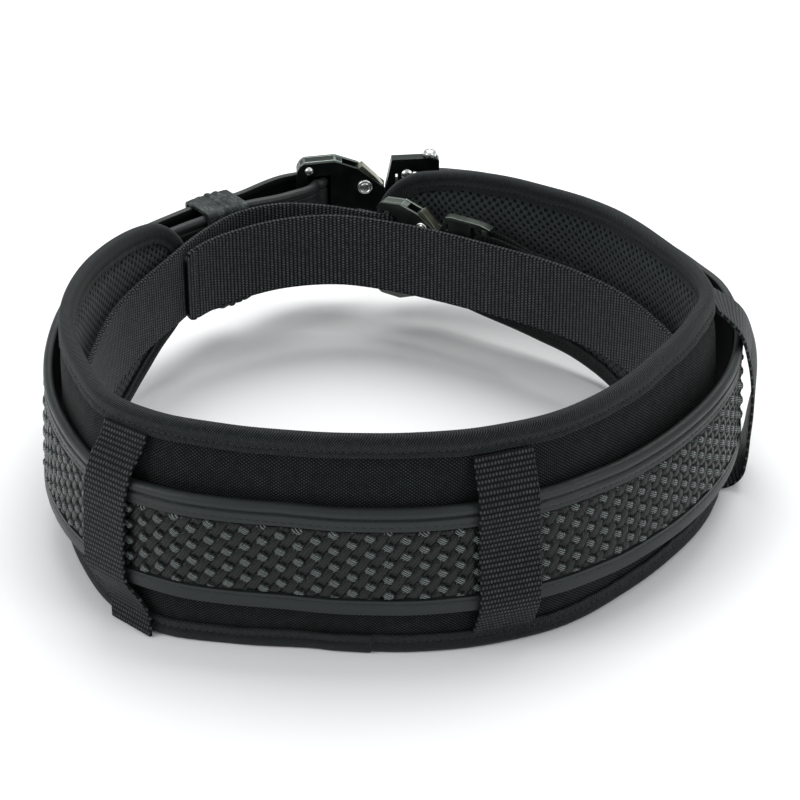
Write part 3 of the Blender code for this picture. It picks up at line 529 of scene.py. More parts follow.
# %% The band
class Band:
    """A smooth path in plan through a table's rows, on which flat pieces are bent."""

    def __init__(self, rows, columns, height, pivot=0.0):
        rows = np.array(rows, float)
        rows[:, :2] -= PLAN_MIDDLE
        self.rows = smooth_rows(rows * MM, MM)
        self.arc = lengths_along(self.rows[:, :2])
        self.length = self.arc[-1]
        ahead = headings(self.rows[:, :2], self.arc)
        self.side = np.stack([ahead[:, 1], -ahead[:, 0]], axis=1)
        self.columns, self.height, self.pivot = columns, height, pivot

    def read(self, name, s):
        """A column's value at lengths along the path, or zero where the table has no such column."""
        if name not in self.columns:
            return np.zeros_like(s)
        return np.interp(s, self.arc, self.rows[:, self.columns.index(name)])

    def facing(self, s):
        """The way the band's outer side looks, in plan."""
        return np.stack([np.interp(s, self.arc, self.side[:, i]) for i in (0, 1)], axis=-1)

    def bend(self, flat):
        """Flat points, as rows of length, distance out and height, laid along the band."""
        s, out, height = np.asarray(flat, float).T
        up = np.clip(height / self.height, 0.0, 1.0)
        away = out + self.read("foot", s) * (self.pivot - up)
        plan = np.stack([self.read("x", s), self.read("y", s)], axis=1)
        plan = plan + self.facing(s) * away[:, None]
        return np.column_stack([plan, self.read("base", s) + height])

    def nearest(self, place):
        """The length at which the path passes closest to a place in the tables' millimetres."""
        return float(self.arc[np.argmin(np.hypot(*(self.rows[:, :2] - in_plan(place)).T))])


PAD = Band(PAD_ROWS, PAD_COLUMNS, PAD_HEIGHT, pivot=1.0)
print("pad", round(PAD.length, 3), "m long")

# %% [markdown]
# ## Where the belts fold
#
# Each belt turns back round an upright bar of its buckle. A fold is an arc about the bar, as wide
# as the bar, a small play and half the band. The buckles' places and sizes are the frame's: one
# unit of the smaller buckle is a shorter length than a millimetre.

# %% Buckles and folds
BUCKLES = {
    "main": dict(at=(-11.0, 204.5), mid=58.0, turn=3.0, unit=1.0, male_bar=28.5),
    "waist": dict(at=(21.5, 144.0), mid=62.3, turn=-26.6, unit=0.79, male_bar=37.5),
}
STRAP_BAR_AT = -40.0
BAR_RADIUS = 3.0
FOLD_PLAY = 0.5
FOLD_STEPS = 7
BELT_FOLD_HALF = 2.9
WEBBING_HALF = 1.4
SEWN_BACK = (28.0, 11.0)


def in_buckle(name, along, out=0.0):
    """Plan place, in millimetres, from units along a buckle's middle line and behind it."""
    buckle = BUCKLES[name]
    turn, unit = math.radians(buckle["turn"]), buckle["unit"]
    x = buckle["at"][0] + unit * (along * math.cos(turn) - out * math.sin(turn))
    y = buckle["at"][1] + unit * (along * math.sin(turn) + out * math.cos(turn))
    return x, y


def fold_rows(name, along, half, start, stop, rest):
    """Rows of a fold round an upright bar, from one angle to the other, in degrees."""
    x, y = in_buckle(name, along)
    radius = BAR_RADIUS * BUCKLES[name]["unit"] + FOLD_PLAY + half
    turns = np.radians(np.linspace(start, stop, FOLD_STEPS))
    return tuple((x + radius * math.cos(t), y + radius * math.sin(t), *rest) for t in turns)


main_bar, waist_bar = BUCKLES["main"]["male_bar"], BUCKLES["waist"]["male_bar"]
left_fold = fold_rows("main", STRAP_BAR_AT, BELT_FOLD_HALF, -75, 90, FOLDED_STRAND[-1][2:])
right_fold = fold_rows("main", main_bar, BELT_FOLD_HALF, 90, 255, RIGHT_RETURN[0][2:])
belt_rows = FOLDED_STRAND + left_fold + OUTER_STRAND + right_fold + RIGHT_RETURN
BELT = Band(belt_rows, BELT_COLUMNS, BELT_HEIGHT, pivot=0.5)
FIRST_FOLD_ENDS, LAST_FOLD_STARTS = BELT.nearest(left_fold[-1]), BELT.nearest(right_fold[0])

waist_turn = BUCKLES["waist"]["turn"]
base = WEBBING_ROUND[0][2:]
behind = BAR_RADIUS + (FOLD_PLAY + WEBBING_HALF) / BUCKLES["waist"]["unit"]
sewn_end = tuple((*in_buckle("waist", STRAP_BAR_AT - back, behind), *base) for back in SEWN_BACK)
waist_fold = fold_rows("waist", STRAP_BAR_AT, WEBBING_HALF, waist_turn + 90, waist_turn - 80, base)
WEBBING = Band(sewn_end + waist_fold + WEBBING_ROUND, WEBBING_COLUMNS, WEBBING_HEIGHT)
print("belt", round(BELT.length, 3), "m, webbing", round(WEBBING.length, 3), "m")

# %% [markdown]
# ## Working on a mesh
#
# Most pieces start as a grid, whose corners are then moved all at once as an array. Edit mode does
# the finishing: it merges corners that meet, closes ends and turns faces outwards.


# %% Grids and their corners
def only(obj):
    """Makes one object the selected and active one."""
    bpy.ops.object.select_all(action="DESELECT")
    obj.select_set(True)
    bpy.context.view_layer.objects.active = obj


def points_of(obj):
    """An object's corners as rows of x, y and z."""
    flat = np.empty(len(obj.data.vertices) * 3)
    obj.data.vertices.foreach_get("co", flat)
    return flat.reshape(-1, 3)


def set_points(obj, points):
    """Moves an object's corners."""
    obj.data.vertices.foreach_set("co", np.asarray(points, float).ravel())
    obj.data.update()


def grid(name, columns, rows):
    """A flat grid and, for each of its corners, its column and row."""
    bpy.ops.object.select_all(action="DESELECT")
    bpy.ops.mesh.primitive_grid_add(x_subdivisions=columns, y_subdivisions=rows, size=2.0)
    made = bpy.context.object
    made.name = name
    places = (points_of(made)[:, :2] + 1.0) / 2.0 * (columns, rows)
    return made, *np.rint(places).astype(int).T


def tidy(obj, merge=1e-6, close=False, whole=False):
    """Merges corners that meet and turns faces outwards. May close ends and make flat faces whole."""
    only(obj)
    bpy.ops.object.mode_set(mode="EDIT")
    bpy.ops.mesh.select_all(action="SELECT")
    bpy.ops.mesh.remove_doubles(threshold=merge)
    if close:
        bpy.ops.mesh.fill_holes(sides=0)
    bpy.ops.mesh.normals_make_consistent(inside=False)
    if whole:
        bpy.ops.mesh.dissolve_limited(angle_limit=math.radians(2.0))
    bpy.ops.object.mode_set(mode="OBJECT")
    return obj


print("floor corners:", len(points_of(floor)))

# %% [markdown]
# ## Laying a strip flat
#
# Each strap starts as a flat grid that is rolled up into its cross-section, as a sheet of paper is
# rolled into a tube, and its two ends are closed. Its columns stand at stations along the band,
# which are closer together where the band folds.


# %% Strips
FOLD_STATIONS = 26


def rolled(name, section, stations, ends=True):
    """A strip along X whose section holds rows of distance out and height, once round."""
    strip, column, row = grid(name, len(stations) - 1, len(section))
    around = np.array(section, float)[row % len(section)]
    set_points(strip, np.column_stack([np.array(stations)[column], around]))
    return tidy(strip, close=ends)


def stations_of(band, step, *folds):
    """Even lengths along a band, closer together where it folds."""
    even = np.linspace(0.0, band.length, int(band.length / step) + 1)
    for fold in folds:
        start, stop = band.nearest(fold[0]), band.nearest(fold[-1])
        close = np.linspace(start, stop, FOLD_STATIONS)
        even = np.concatenate([even[(even < start) | (even > stop)], close])
    return np.sort(even)


print("strips: stations of the belt", len(stations_of(BELT, 3.2 * MM, left_fold, right_fold)))

# %% [markdown]
# ## Maps, places and unevenness
#
# While a strip is still straight, its length and width are kept as a map named "run", so that ribs
# and weave follow it round its bends. A finished piece gets its material and smooth faces, and is
# told which body it rides on and which plain pieces it stands for. Nothing sewn is quite even, so a
# sum of six slow waves is kept at hand, whose random draws come from a fixed seed.


# %% Maps, dressing and ripples
def uv_map(obj, name, values):
    """Keeps two values of each corner as one of a piece's maps."""
    layer = obj.data.uv_layers.new(name=name)
    corner = np.empty(len(obj.data.loops), int)
    obj.data.loops.foreach_get("vertex_index", corner)
    layer.data.foreach_set("uv", values[corner].astype(np.float32).ravel())


def map_run(obj):
    """Keeps a flat piece's length and height as its map."""
    uv_map(obj, "run", points_of(obj)[:, [0, 2]])


def carry(obj, bend):
    """Maps a flat piece and bends it into place."""
    map_run(obj)
    set_points(obj, bend(points_of(obj)))
    return obj


def settle(obj, slot, *nodes, body="root"):
    """Lets a finished piece ride on a body, in place of the nodes it stands for."""
    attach(obj, body)
    if nodes:
        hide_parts(*nodes)
    print(obj.name, len(obj.data.polygons), "faces")
    return obj


def dress(obj, finish, slot, *nodes, angle=35.0):
    """Gives a piece its material and smooth faces, and settles it."""
    obj.data.materials.clear()
    obj.data.materials.append(finish)
    only(obj)
    bpy.ops.object.shade_smooth_by_angle(angle=math.radians(angle))
    return settle(obj, slot, *nodes)


def ease(x, low, high):
    """A smooth step from 0 at low to 1 at high."""
    t = np.clip((np.asarray(x, float) - low) / (high - low), 0.0, 1.0)
    return t * t * (3 - 2 * t)


def ripple(a, b, wide, high, seed):
    """Gentle unevenness about 0. Its first waves are 2 pi times wide, or high, millimetres long."""
    a, b = a / (wide * MM), b / (high * MM)
    dice = np.random.default_rng(seed)
    total = 0.0
    for _ in range(6):
        angle, turn = dice.uniform(0.0, math.pi), dice.uniform(0.0, 2 * math.pi)
        total = total + np.sin(a * math.cos(angle) + b * math.sin(angle) + turn) / 3.0
        a, b = a * 1.31, b * 1.31
    return total


print("ripple at one place:", round(float(ripple(0.1, 0.1, 19, 19, 3)), 3))

# %% [markdown]
# ## The pad's outline
#
# The pad is a long panel with rounded ends, and its height changes round the waist. Its outline is
# worked out once, as the height of the upper and lower edge at each length, this far in from the
# bound edge. Cover, net and tape all take their shape from it.

# %% Outline of the pad
END_CORNER = 27.0 * MM
BOUND_HALF = 3.9 * MM
BOUND_REACH = 11.0 * MM
COVER_INSET = 1.5 * MM
SEWN_AT = 7.3 * MM
OUTLINE_STEP = 2.8 * MM
CORNER_ROWS = 16
EDGE_ROWS = 300
LAP_PLACE = (-14.2, -178.0)


def pad_edge(s, side, inset=0.0):
    """Height of the pad's upper or lower edge at a length, this far in from its outline."""
    radius = END_CORNER - inset
    near = np.minimum(s, PAD.length - s) - inset
    drop = radius - np.sqrt(np.maximum(radius**2 - np.maximum(radius - near, 0.0) ** 2, 0.0))
    edge = np.maximum(PAD.read(side, s), 0.0)
    return edge - inset - drop if side == "top" else edge + inset + drop


def pad_outline():
    """Rows of length and height once round the pad, evenly spaced, and the way in at each."""
    turn = END_CORNER * (1.0 - np.cos(np.radians(np.linspace(0.0, 90.0, CORNER_ROWS))))
    even = np.linspace(END_CORNER, PAD.length - END_CORNER, EDGE_ROWS)[1:-1]
    s = np.concatenate([turn, even, PAD.length - turn[::-1]])
    upper = np.column_stack([s, pad_edge(s, "top")])
    lower = np.column_stack([s, pad_edge(s, "bottom")])[::-1]
    rough = np.concatenate([upper, lower, upper[:1]])
    arc = lengths_along(rough)
    place = np.linspace(0.0, arc[-1], int(arc[-1] / OUTLINE_STEP) + 1)
    rows = np.column_stack([np.interp(place, arc, rough[:, i]) for i in (0, 1)])
    ahead = np.roll(rows[:-1], -1, axis=0) - np.roll(rows[:-1], 1, axis=0)
    ahead = np.concatenate([ahead, ahead[:1]])
    ahead /= np.hypot(*ahead.T)[:, None]
    inward = np.column_stack([ahead[:, 1], -ahead[:, 0]])
    level = (rows[:, 0] > END_CORNER) & (rows[:, 0] < PAD.length - END_CORNER)
    inward[level] = np.column_stack([0.0 * inward[level, 1], np.sign(inward[level, 1])])
    return place, rows, inward


OUTLINE_PLACE, OUTLINE, OUTLINE_INWARD = pad_outline()
from_lap = np.abs(OUTLINE[:, 0] - PAD.nearest(LAP_PLACE)) + OUTLINE[:, 1]
LAP_AT = OUTLINE_PLACE[np.argmin(from_lap)]
print("bound edge", round(OUTLINE_PLACE[-1], 3), "m round, its tape's ends lap at", round(LAP_AT, 3))

# %% [markdown]
# ## Cover and net of the pad
#
# Under the tape the pad's layers are pressed flat, and past it the foam swells them. Each layer is
# a closed slab: one flat face inside, and one that rises from the tape and lies a little uneven, as
# cloth does over foam. Near the tape small puckers run in from the seam.

# %% Layers of the pad
LAYER_GRID = (330, 44)
SWELL = (BOUND_REACH - 2 * MM, BOUND_REACH + 9 * MM)
LUMP_DEPTH = 0.35
PUCKERS_START = (8 * MM, 13 * MM)
PUCKERS_END = (15 * MM, 26 * MM)


def pad_layer(name, flat, tight, full, pucker, seed):
    """A layer of the pad. Its flat face, tight edge and full swell are in mm out from the tape's face."""
    flat, tight, full, pucker = flat * MM, tight * MM, full * MM, pucker * MM
    layer = grid(name, *LAYER_GRID)[0]
    bpy.ops.object.mode_set(mode="EDIT")
    bpy.ops.mesh.select_all(action="SELECT")
    bpy.ops.mesh.extrude_region_move(TRANSFORM_OT_translate={"value": (0.0, 0.0, -1.0)})
    bpy.ops.object.mode_set(mode="OBJECT")
    corners = points_of(layer)
    s = COVER_INSET + (corners[:, 0] + 1.0) / 2.0 * (PAD.length - 2 * COVER_INSET)
    low, high = pad_edge(s, "bottom", COVER_INSET), pad_edge(s, "top", COVER_INSET)
    z = low + (corners[:, 1] + 1.0) / 2.0 * (high - low)
    inward = np.minimum(np.minimum(z - low, high - z), np.minimum(s, PAD.length - s)) + COVER_INSET
    swell = ease(inward, *SWELL)
    lumps = 0.5 * (ripple(s, z, 19, 19, seed) - 1.0) * LUMP_DEPTH * MM
    near_tape = ease(inward, *PUCKERS_START) * (1.0 - ease(inward, *PUCKERS_END))
    gathers = near_tape * (ripple(s, z, 3.1, 40, seed + 1) - 1.0) * 0.5 * pucker
    uneven = math.copysign(1.0, full - tight) * (lumps * swell + gathers)
    rise = tight + (full - tight) * swell + uneven
    out = np.where(corners[:, 2] > -0.5, rise, flat)
    set_points(layer, np.column_stack([s, out, z]))
    return tidy(carry(layer, PAD.bend))


cover = pad_layer("pad_cover", -4.6, -1.9, -0.2, 0.5, 3)
dress(cover, black_twill, "black_twill", "pad_shell")
net = pad_layer("pad_net", -4.9, -5.9, -8.4, 0.7, 5)
dress(net, spacer_net, "spacer_net", "pad_lining")

# %% [markdown]
# ## The bound edge
#
# Tape is folded over the raw edge and sewn through. Its section is a U with a round fold and a
# furrow where the thread pulls it in. A strip of that section is laid straight, made a little
# uneven, and carried round the outline. Low down in front the tape's two ends lap.

# %% Binding
TAPE = 1.2 * MM
TAPE_ROUND = 3.0 * MM
FURROW_HALF = 0.9 * MM
FURROW_DEPTH = 0.5 * MM
LIP_ROUND = 0.4 * MM
INSIDE_REACH = 0.62
LAP_STEP = 0.5 * MM
LAP_RISE = 1.2 * MM
LAP_SINKS = (16 * MM, 30 * MM)
TAPE_WAVE = 0.3
TAPE_WANDER = 0.4


def u_section(half, reach, steps=6):
    """A folded tape's section, as rows of distance out and distance in from the fold."""
    turns = np.radians(np.linspace(0.0, 90.0, steps))
    middle = half - TAPE_ROUND
    outer, inner = [
        [(middle + round_by * math.cos(t), TAPE_ROUND - round_by * math.sin(t)) for t in turns]
        for round_by in (TAPE_ROUND, TAPE_ROUND - TAPE)
    ]
    lip = [(half - TAPE, reach - LIP_ROUND), (half - TAPE / 2, reach), (half, reach - LIP_ROUND)]
    furrow = [(half, SEWN_AT + FURROW_HALF), (half - FURROW_DEPTH, SEWN_AT), (half, SEWN_AT - FURROW_HALF)]
    right = lip + furrow + outer
    left = [(-out, inset) for out, inset in reversed(right)]
    inside = [(half - TAPE, reach * INSIDE_REACH)] + inner
    return right + left + [(-out, inset) for out, inset in inside] + inside[::-1]


def on_binding(points):
    """Flat points, as rows of place round the outline, distance out and distance in, on the pad."""
    place, out, inset = points.T
    lapped = ease(place, LAP_AT - LAP_STEP, LAP_AT + LAP_STEP)
    lapped = lapped - ease(place, LAP_AT + LAP_SINKS[0], LAP_AT + LAP_SINKS[1])
    out = out + np.sign(out) * LAP_RISE * lapped
    toward_lip = ease(inset, 2 * MM, 11 * MM)
    out = out + np.sign(out) * TAPE_WAVE * MM * toward_lip * ripple(place, inset, 4.2, 9, 8)
    free = np.where(inset > 5 * MM, 1.0, 0.3)
    inset = inset + TAPE_WANDER * MM * ripple(place, 0.0, 17, 1, 9) * free
    inward = [np.interp(place, OUTLINE_PLACE, OUTLINE_INWARD[:, i]) for i in (0, 1)]
    s, z = [np.interp(place, OUTLINE_PLACE, OUTLINE[:, i]) + inset * inward[i] for i in (0, 1)]
    return PAD.bend(np.column_stack([s, out - BOUND_HALF, np.maximum(z, 0.0)]))


stations = np.sort(np.append(OUTLINE_PLACE, [LAP_AT - 0.9 * LAP_STEP, LAP_AT + 0.9 * LAP_STEP]))
binding = rolled("bound_edge", u_section(BOUND_HALF, BOUND_REACH), stations, ends=False)
dress(tidy(carry(binding, on_binding)), binding_tape, "binding_tape", "pad_binding", angle=50.0)

# %% [markdown]
# ## Stitches of the binding
#
# A row of stitches runs in the furrow on both faces. There are over a thousand of them, so each is
# a small bead with six sides, and one array of corners makes them all as a single mesh. They are
# laid straight and carried round like the tape, so they sit in its furrow everywhere.


# %% Stitches of the binding
def stitch_beads(name, middles, length, radius):
    """Stitches as one mesh: a six-sided bead along X at each flat middle."""
    turns = np.radians(np.arange(0.0, 360.0, 60.0))
    ring = np.column_stack([0.0 * turns, np.cos(turns), np.sin(turns)]) * radius
    shoulder = np.array([0.38 * length, 0.0, 0.0])
    tip = np.array([[0.5 * length, 0.0, 0.0]])
    bead = np.concatenate([-tip, ring - shoulder, ring + shoulder, tip])
    corners = (np.array(middles)[:, None, :] + bead[None]).reshape(-1, 3)
    steps = [(i, (i + 1) % 6) for i in range(6)]
    faces = [(0, 1 + j, 1 + i) for i, j in steps] + [(1 + i, 1 + j, 7 + j, 7 + i) for i, j in steps]
    faces += [(13, 7 + i, 7 + j) for i, j in steps]
    every = [tuple(c + 14 * k for c in face) for k in range(len(middles)) for face in faces]
    mesh = bpy.data.meshes.new(name)
    mesh.from_pydata([tuple(c) for c in corners], [], every)
    made = bpy.data.objects.new(name, mesh)
    bpy.context.scene.collection.objects.link(made)
    return made


# Bonded polyester thread: hard and black, with a small gloss on each stitch
black_thread, tree, shader, mix = cloth("bonded_thread", "#0c0e0e", "#2a2f2f", 0.45, 0.3)
feed(tree, mix, share(tree, stripes(tree, along_and_across(tree)[0], 0.5 * MM)))

STITCH_PITCH = 3.4 * MM
STITCH_LENGTH = 2.5 * MM
THREAD_RADIUS = 0.3 * MM

places = np.arange(1.5 * MM, OUTLINE_PLACE[-1] - 1.5 * MM, STITCH_PITCH)
in_furrow = BOUND_HALF - FURROW_DEPTH / 2
middles = [(place, face * in_furrow, SEWN_AT) for face in (1.0, -1.0) for place in places]
thread = stitch_beads("binding_stitches", middles, STITCH_LENGTH, THREAD_RADIUS)
dress(carry(thread, on_binding), black_thread, "binding_tape", angle=60.0)

# %% [markdown]
# ## Loops
#
# Three lengths of webbing are sewn to the pad above and below, and bow out over the leather belt.
# Each one has its place along the pad and its width, and the run of its inner face as a short row
# of places: height, distance out from the pad, and drift along it. A smooth curve through them is
# the strap's run, and its own thickness is added outside. The right loop stands off more on one
# side, by the share that comes before its rows.

# %% Loops
LOOP_TAPE = 1.8 * MM
LOOP_EDGE = 0.6 * MM
LOOPS = {
    "left": (278.0, 26.5, 0.0, (
        (109.5, 0.3, 0), (100, 2.8, -2), (90, 7.6, -4.5), (78, 9.4, -6.5), (60, 9.6, -7.5),
        (42, 9.2, -8.5), (30, 8.0, -8), (21, 4.5, -2.5), (15, 2.8, 0.5), (1, 2.4, 2),
    )),
    "centre": (460.0, 30.0, 0.0, (
        (106, 0.3, 0), (97, 3.2, 0), (88, 7.2, 0), (60, 8.0, 0), (26, 8.0, 0), (17, 3.4, 0),
        (12, 0.6, 0), (10, -1.4, 0),
    )),
    "right": (658.0, 30.0, 0.44, (
        (106.5, 0.3, 0), (102, 6, 0), (92, 15.5, 0), (75, 21, 0), (50, 22.5, 0), (30, 19.5, 0),
        (16, 17, 0), (8, 14, 0), (4.4, 9.5, 0), (2.8, 4.5, 0), (2.6, 0.8, 0),
    )),
}


def make_loop(side):
    """A bowed strap, from its own width, its place along the pad and its rows."""
    middle, width, slant, rows = LOOPS[side]
    middle, width = middle * MM, width * MM
    run = smooth_rows(np.array(rows, float), 1.2) * MM
    lengths = lengths_along(run[:, :2])
    slope = headings(run[:, :2], lengths)
    half, edge = LOOP_TAPE / 2, width / 2
    right = [(half, LOOP_EDGE - edge), (half, edge - LOOP_EDGE), (half * 0.5, edge)]
    section = right + [(-half * 0.5, edge), (-half, edge - LOOP_EDGE), (-half, LOOP_EDGE - edge)]
    section += [(-half * 0.5, -edge), (half * 0.5, -edge)]
    strap = rolled("belt_loop_" + side + "_webbing", section, lengths)
    map_run(strap)
    at, thick, across = points_of(strap).T
    z, out, drift = (np.interp(at, lengths, run[:, i]) for i in (0, 1, 2))
    rise, reach = (np.interp(at, lengths, slope[:, i]) for i in (0, 1))
    stand = slant * across / width * out
    z = z + (thick + half) * reach
    out = out + stand - (thick + half) * rise
    bow = PAD.facing(middle)
    base = PAD.bend(np.column_stack([middle + across, 0.0 * z, np.maximum(z, 0.0)]))
    base[:, :2] += out[:, None] * bow + drift[:, None] * np.array((-bow[1], bow[0]))
    set_points(strap, base)
    return dress(tidy(strap), loop_webbing, "nylon_webbing", "belt_loop_" + side)


for side in LOOPS:
    make_loop(side)

# %% [markdown]
# ## The leather belt
#
# A band of hide with its upper edge rolled over a cord, and a groove ironed along each border. In
# front the middle is let in by 1.5 mm, where strips of hide are plaited into a basket weave. The
# inner faces keep the raw flesh side as their material.

# %% Belt
BELT_HALF = 2.4
ROLL_RADIUS = 2.9
ROLL_UP = 55.1
BELT_STEP = 3.2 * MM
LOWER_BORDER = 8.4 * MM
UPPER_BORDER = 46.4 * MM
GROOVES = (6.3, 48.5)
GROOVE_FLOOR = 2.15
PANEL_SUNK = 1.5 * MM
BELT_WANDER = 0.25
PANEL_START = FIRST_FOLD_ENDS + 130 * MM
PANEL_STOP = LAST_FOLD_STARTS - 60 * MM


def belt_section():
    """Distance out and height once round the belt, in millimetres turned to metres at the end."""
    lower = [(1.6, 0.0), (2.2, 0.4), (2.5, 1.6), (2.6, 3.4), (2.4, 5.7)]
    lower += [(GROOVE_FLOOR, GROOVES[0]), (2.4, 6.9), (2.4, 8.3), (2.4, 8.5)]
    upper = [(2.4, 46.3), (2.4, 46.5), (2.4, 47.8), (GROOVE_FLOOR, GROOVES[1])]
    upper += [(2.4, 49.2), (2.6, 50.4), (2.4, 51.6), (1.5, 52.3)]
    turns = np.radians(np.linspace(-40.0, 215.0, 16))
    roll = [(ROLL_RADIUS * math.cos(t), ROLL_UP + ROLL_RADIUS * math.sin(t)) for t in turns]
    inner = [(-2.2, 52.4), (-2.4, 50.0), (-2.4, 34.0), (-2.4, 20.0), (-2.4, 1.2), (-2.2, 0.4), (-1.6, 0.0)]
    return np.array(lower + [(2.4, 20.0), (2.4, 34.0)] + upper + roll + inner) * MM


belt = rolled("hide_belt", belt_section(), stations_of(BELT, BELT_STEP, left_fold, right_fold))
map_run(belt)
s, out, height = points_of(belt).T
let_in = (height > LOWER_BORDER) & (height < UPPER_BORDER) & (out > 0.0)
in_panel = ease(s, PANEL_START - 1 * MM, PANEL_START + 2 * MM)
in_panel = in_panel * (1 - ease(s, PANEL_STOP - 2 * MM, PANEL_STOP + 1 * MM))
out = out - np.where(let_in, PANEL_SUNK * in_panel, 0.0)
height = height + BELT_WANDER * MM * ripple(s, height, 23, 60, 12)
inner = [out[list(face.vertices)].mean() < -2.0 * MM for face in belt.data.polygons]
belt.data.attributes.new("inner", "FLOAT", "FACE").data.foreach_set("value", np.array(inner, float))
set_points(belt, BELT.bend(np.column_stack([s, out, height])))
dress(tidy(belt), belt_leather, "black_leather", "leather_belt", angle=40.0)
belt.data.materials.append(flesh_side)
inner = np.empty(len(belt.data.polygons))
belt.data.attributes["inner"].data.foreach_get("value", inner)
belt.data.polygons.foreach_set("material_index", inner.round().astype(np.int32))
print("panel from", round(PANEL_START, 3), "to", round(PANEL_STOP, 3), "m of the belt")

# %% [markdown]
# ## Stitches of the belt
#
# Each border is sewn along its groove, where the thread is out of harm's way. The beads are those
# of the binding, a little longer, and are bent along the belt's path.

# %% Stitches of the belt
BELT_STITCH_PITCH = 4.2 * MM
BELT_STITCH_LENGTH = 3.1 * MM

starts = np.arange(FIRST_FOLD_ENDS + 14 * MM, BELT.length - 40 * MM, BELT_STITCH_PITCH)
middles = [(start, GROOVE_FLOOR * MM, up * MM) for up in GROOVES for start in starts]
belt_thread = stitch_beads("belt_stitches", middles, BELT_STITCH_LENGTH, THREAD_RADIUS)
dress(carry(belt_thread, BELT.bend), black_thread, "black_leather", angle=60.0)

# %% [markdown]
# ## Basket weave
#
# Two sets of strips cross at an angle and pass over and under each other in turn. Modelling each
# strip would take a great many faces. From outside, only the height of whichever strip is on top
# matters, so the panel is a fine grid raised to that height. The broad strips, called A here, run
# up to the right and are a long wave. The narrow ones, B, run down to the right, and show as short
# ridged floats in every second gap. The strip on top also sets the fine ridges' direction.

# %% Crossing strips
STEP_A = (4.18, 6.3)
STEP_B = (4.24, -2.5)
STRIP_A = 4.0
STRIP_B = 3.7
LEVELS_A = (-0.1, 0.7)
LEVELS_B = (-0.5, 1.15)
RIDGE_A = 1.3
RIDGE_B = 0.92


def strip_height(along, across, width, low, high):
    """Height of one set of strips: high on a crown, low where it passes under, 0 in a gap."""
    crown = np.minimum(1.2 * np.cos(along * math.pi / 2) ** 2, 1.0)
    dome = 1.0 - 0.2 * (np.abs(across) / (width / 2)) ** 2
    return np.where(np.abs(across) < width / 2, (low + (high - low) * crown) * dome, 0.0)


def woven(s, height):
    """The weave's height, the place across the strip on top in ridges, and its level, over 0 for B."""
    p, q = np.linalg.inv(np.array([STEP_A, STEP_B]).T) @ np.array([s / MM, height / MM])
    slant = abs(STEP_A[0] * STEP_B[1] - STEP_A[1] * STEP_B[0])
    across_a = (q - np.rint(q)) * slant / np.hypot(*STEP_A)
    across_b = (p - np.rint(p)) * slant / np.hypot(*STEP_B)
    up_a = strip_height(p + np.rint(q) + 1.0, across_a, STRIP_A, *LEVELS_A)
    up_b = strip_height(q + np.rint(p), across_b, STRIP_B, *LEVELS_B)
    short = up_b > up_a
    rise = np.maximum(np.where(short, up_b, up_a), 0.0)
    ridges = np.where(short, across_b / RIDGE_B, across_a / RIDGE_A)
    return rise, ridges, np.where(short, rise, -rise) / 1.1


print("a strip crosses every", round(math.hypot(*STEP_A), 2), "and", round(math.hypot(*STEP_B), 2), "mm")

# %% [markdown]
# ## The woven panel
#
# The grid lies between the belt's two borders, and starts and stops well short of the folds. Its rim
# dips into the hide, so no edge hangs free. A second map keeps what the material needs to know of
# the strips.

# %% Weave panel
WEAVE_STEP = 0.72 * MM
WEAVE_RISE = 1.75 * MM
WEAVE_BED = BELT_HALF * MM - PANEL_SUNK
WEAVE_UP = 0.35 * MM
WEAVE_WANDER = 0.15
WEAVE_MARGIN = 0.3 * MM
END_MARGIN = 1.5 * MM

tall = UPPER_BORDER - LOWER_BORDER - 2 * WEAVE_MARGIN
columns, rows = int((PANEL_STOP - PANEL_START) / WEAVE_STEP), int(tall / WEAVE_STEP)
panel, column, row = grid("basket_weave", columns, rows)
s = PANEL_START + END_MARGIN + column / columns * (PANEL_STOP - PANEL_START - 2 * END_MARGIN)
height = LOWER_BORDER + WEAVE_MARGIN + row / rows * tall
rise, ridges, level = woven(s, height)
rim = np.minimum(np.minimum(column, columns - column), np.minimum(row, rows - row))
out = WEAVE_BED + WEAVE_UP + WEAVE_RISE * rise * ease(rim, 0.0, 2.0)
out = out + WEAVE_WANDER * MM * ripple(s, height, 9, 9, 21)
out = np.where(rim == 0, WEAVE_BED - 0.2 * MM, out)
set_points(panel, np.column_stack([s, out, height]))
carry(panel, BELT.bend)
uv_map(panel, "strand", np.column_stack([level, ridges]))
dress(panel, strip_leather, "black_leather", "weave_panel", angle=60.0)

# %% [markdown]
# ## Keeper
#
# A band of leather holds the belt's free strand to the outer one. It is a ring with close corners. A
# grid is wrapped into that ring: its rows go round it, and its columns go across the leather and
# back on the inside.

# %% Ring of the keeper
KEEPER_WIDTH = 27.0
KEEPER_THICK = 1.8
KEEPER_DEEP = 10.8
KEEPER_TALL = 29.3
KEEPER_CORNER = 1.2


def keeper_ring(grow, steps=8):
    """A rounded rectangle as rows of distance across and up, in millimetres, with close corners."""
    radius = KEEPER_CORNER + grow
    ring = []
    for corner, (a, b) in enumerate(((1, 1), (-1, 1), (-1, -1), (1, -1))):
        for turn in np.radians(np.linspace(90.0 * corner, 90.0 * corner + 90.0, steps)):
            across = a * (KEEPER_DEEP + grow - radius) + radius * math.cos(turn)
            ring.append((across, b * (KEEPER_TALL + grow - radius) + radius * math.sin(turn)))
    filled = []
    for one, two in zip(ring, ring[1:] + ring[:1]):
        parts = max(round(math.dist(one, two) / 2.2), 1)
        filled += [np.array(one) + (np.array(two) - one) * i / parts for i in range(parts)]
    return np.array(filled)


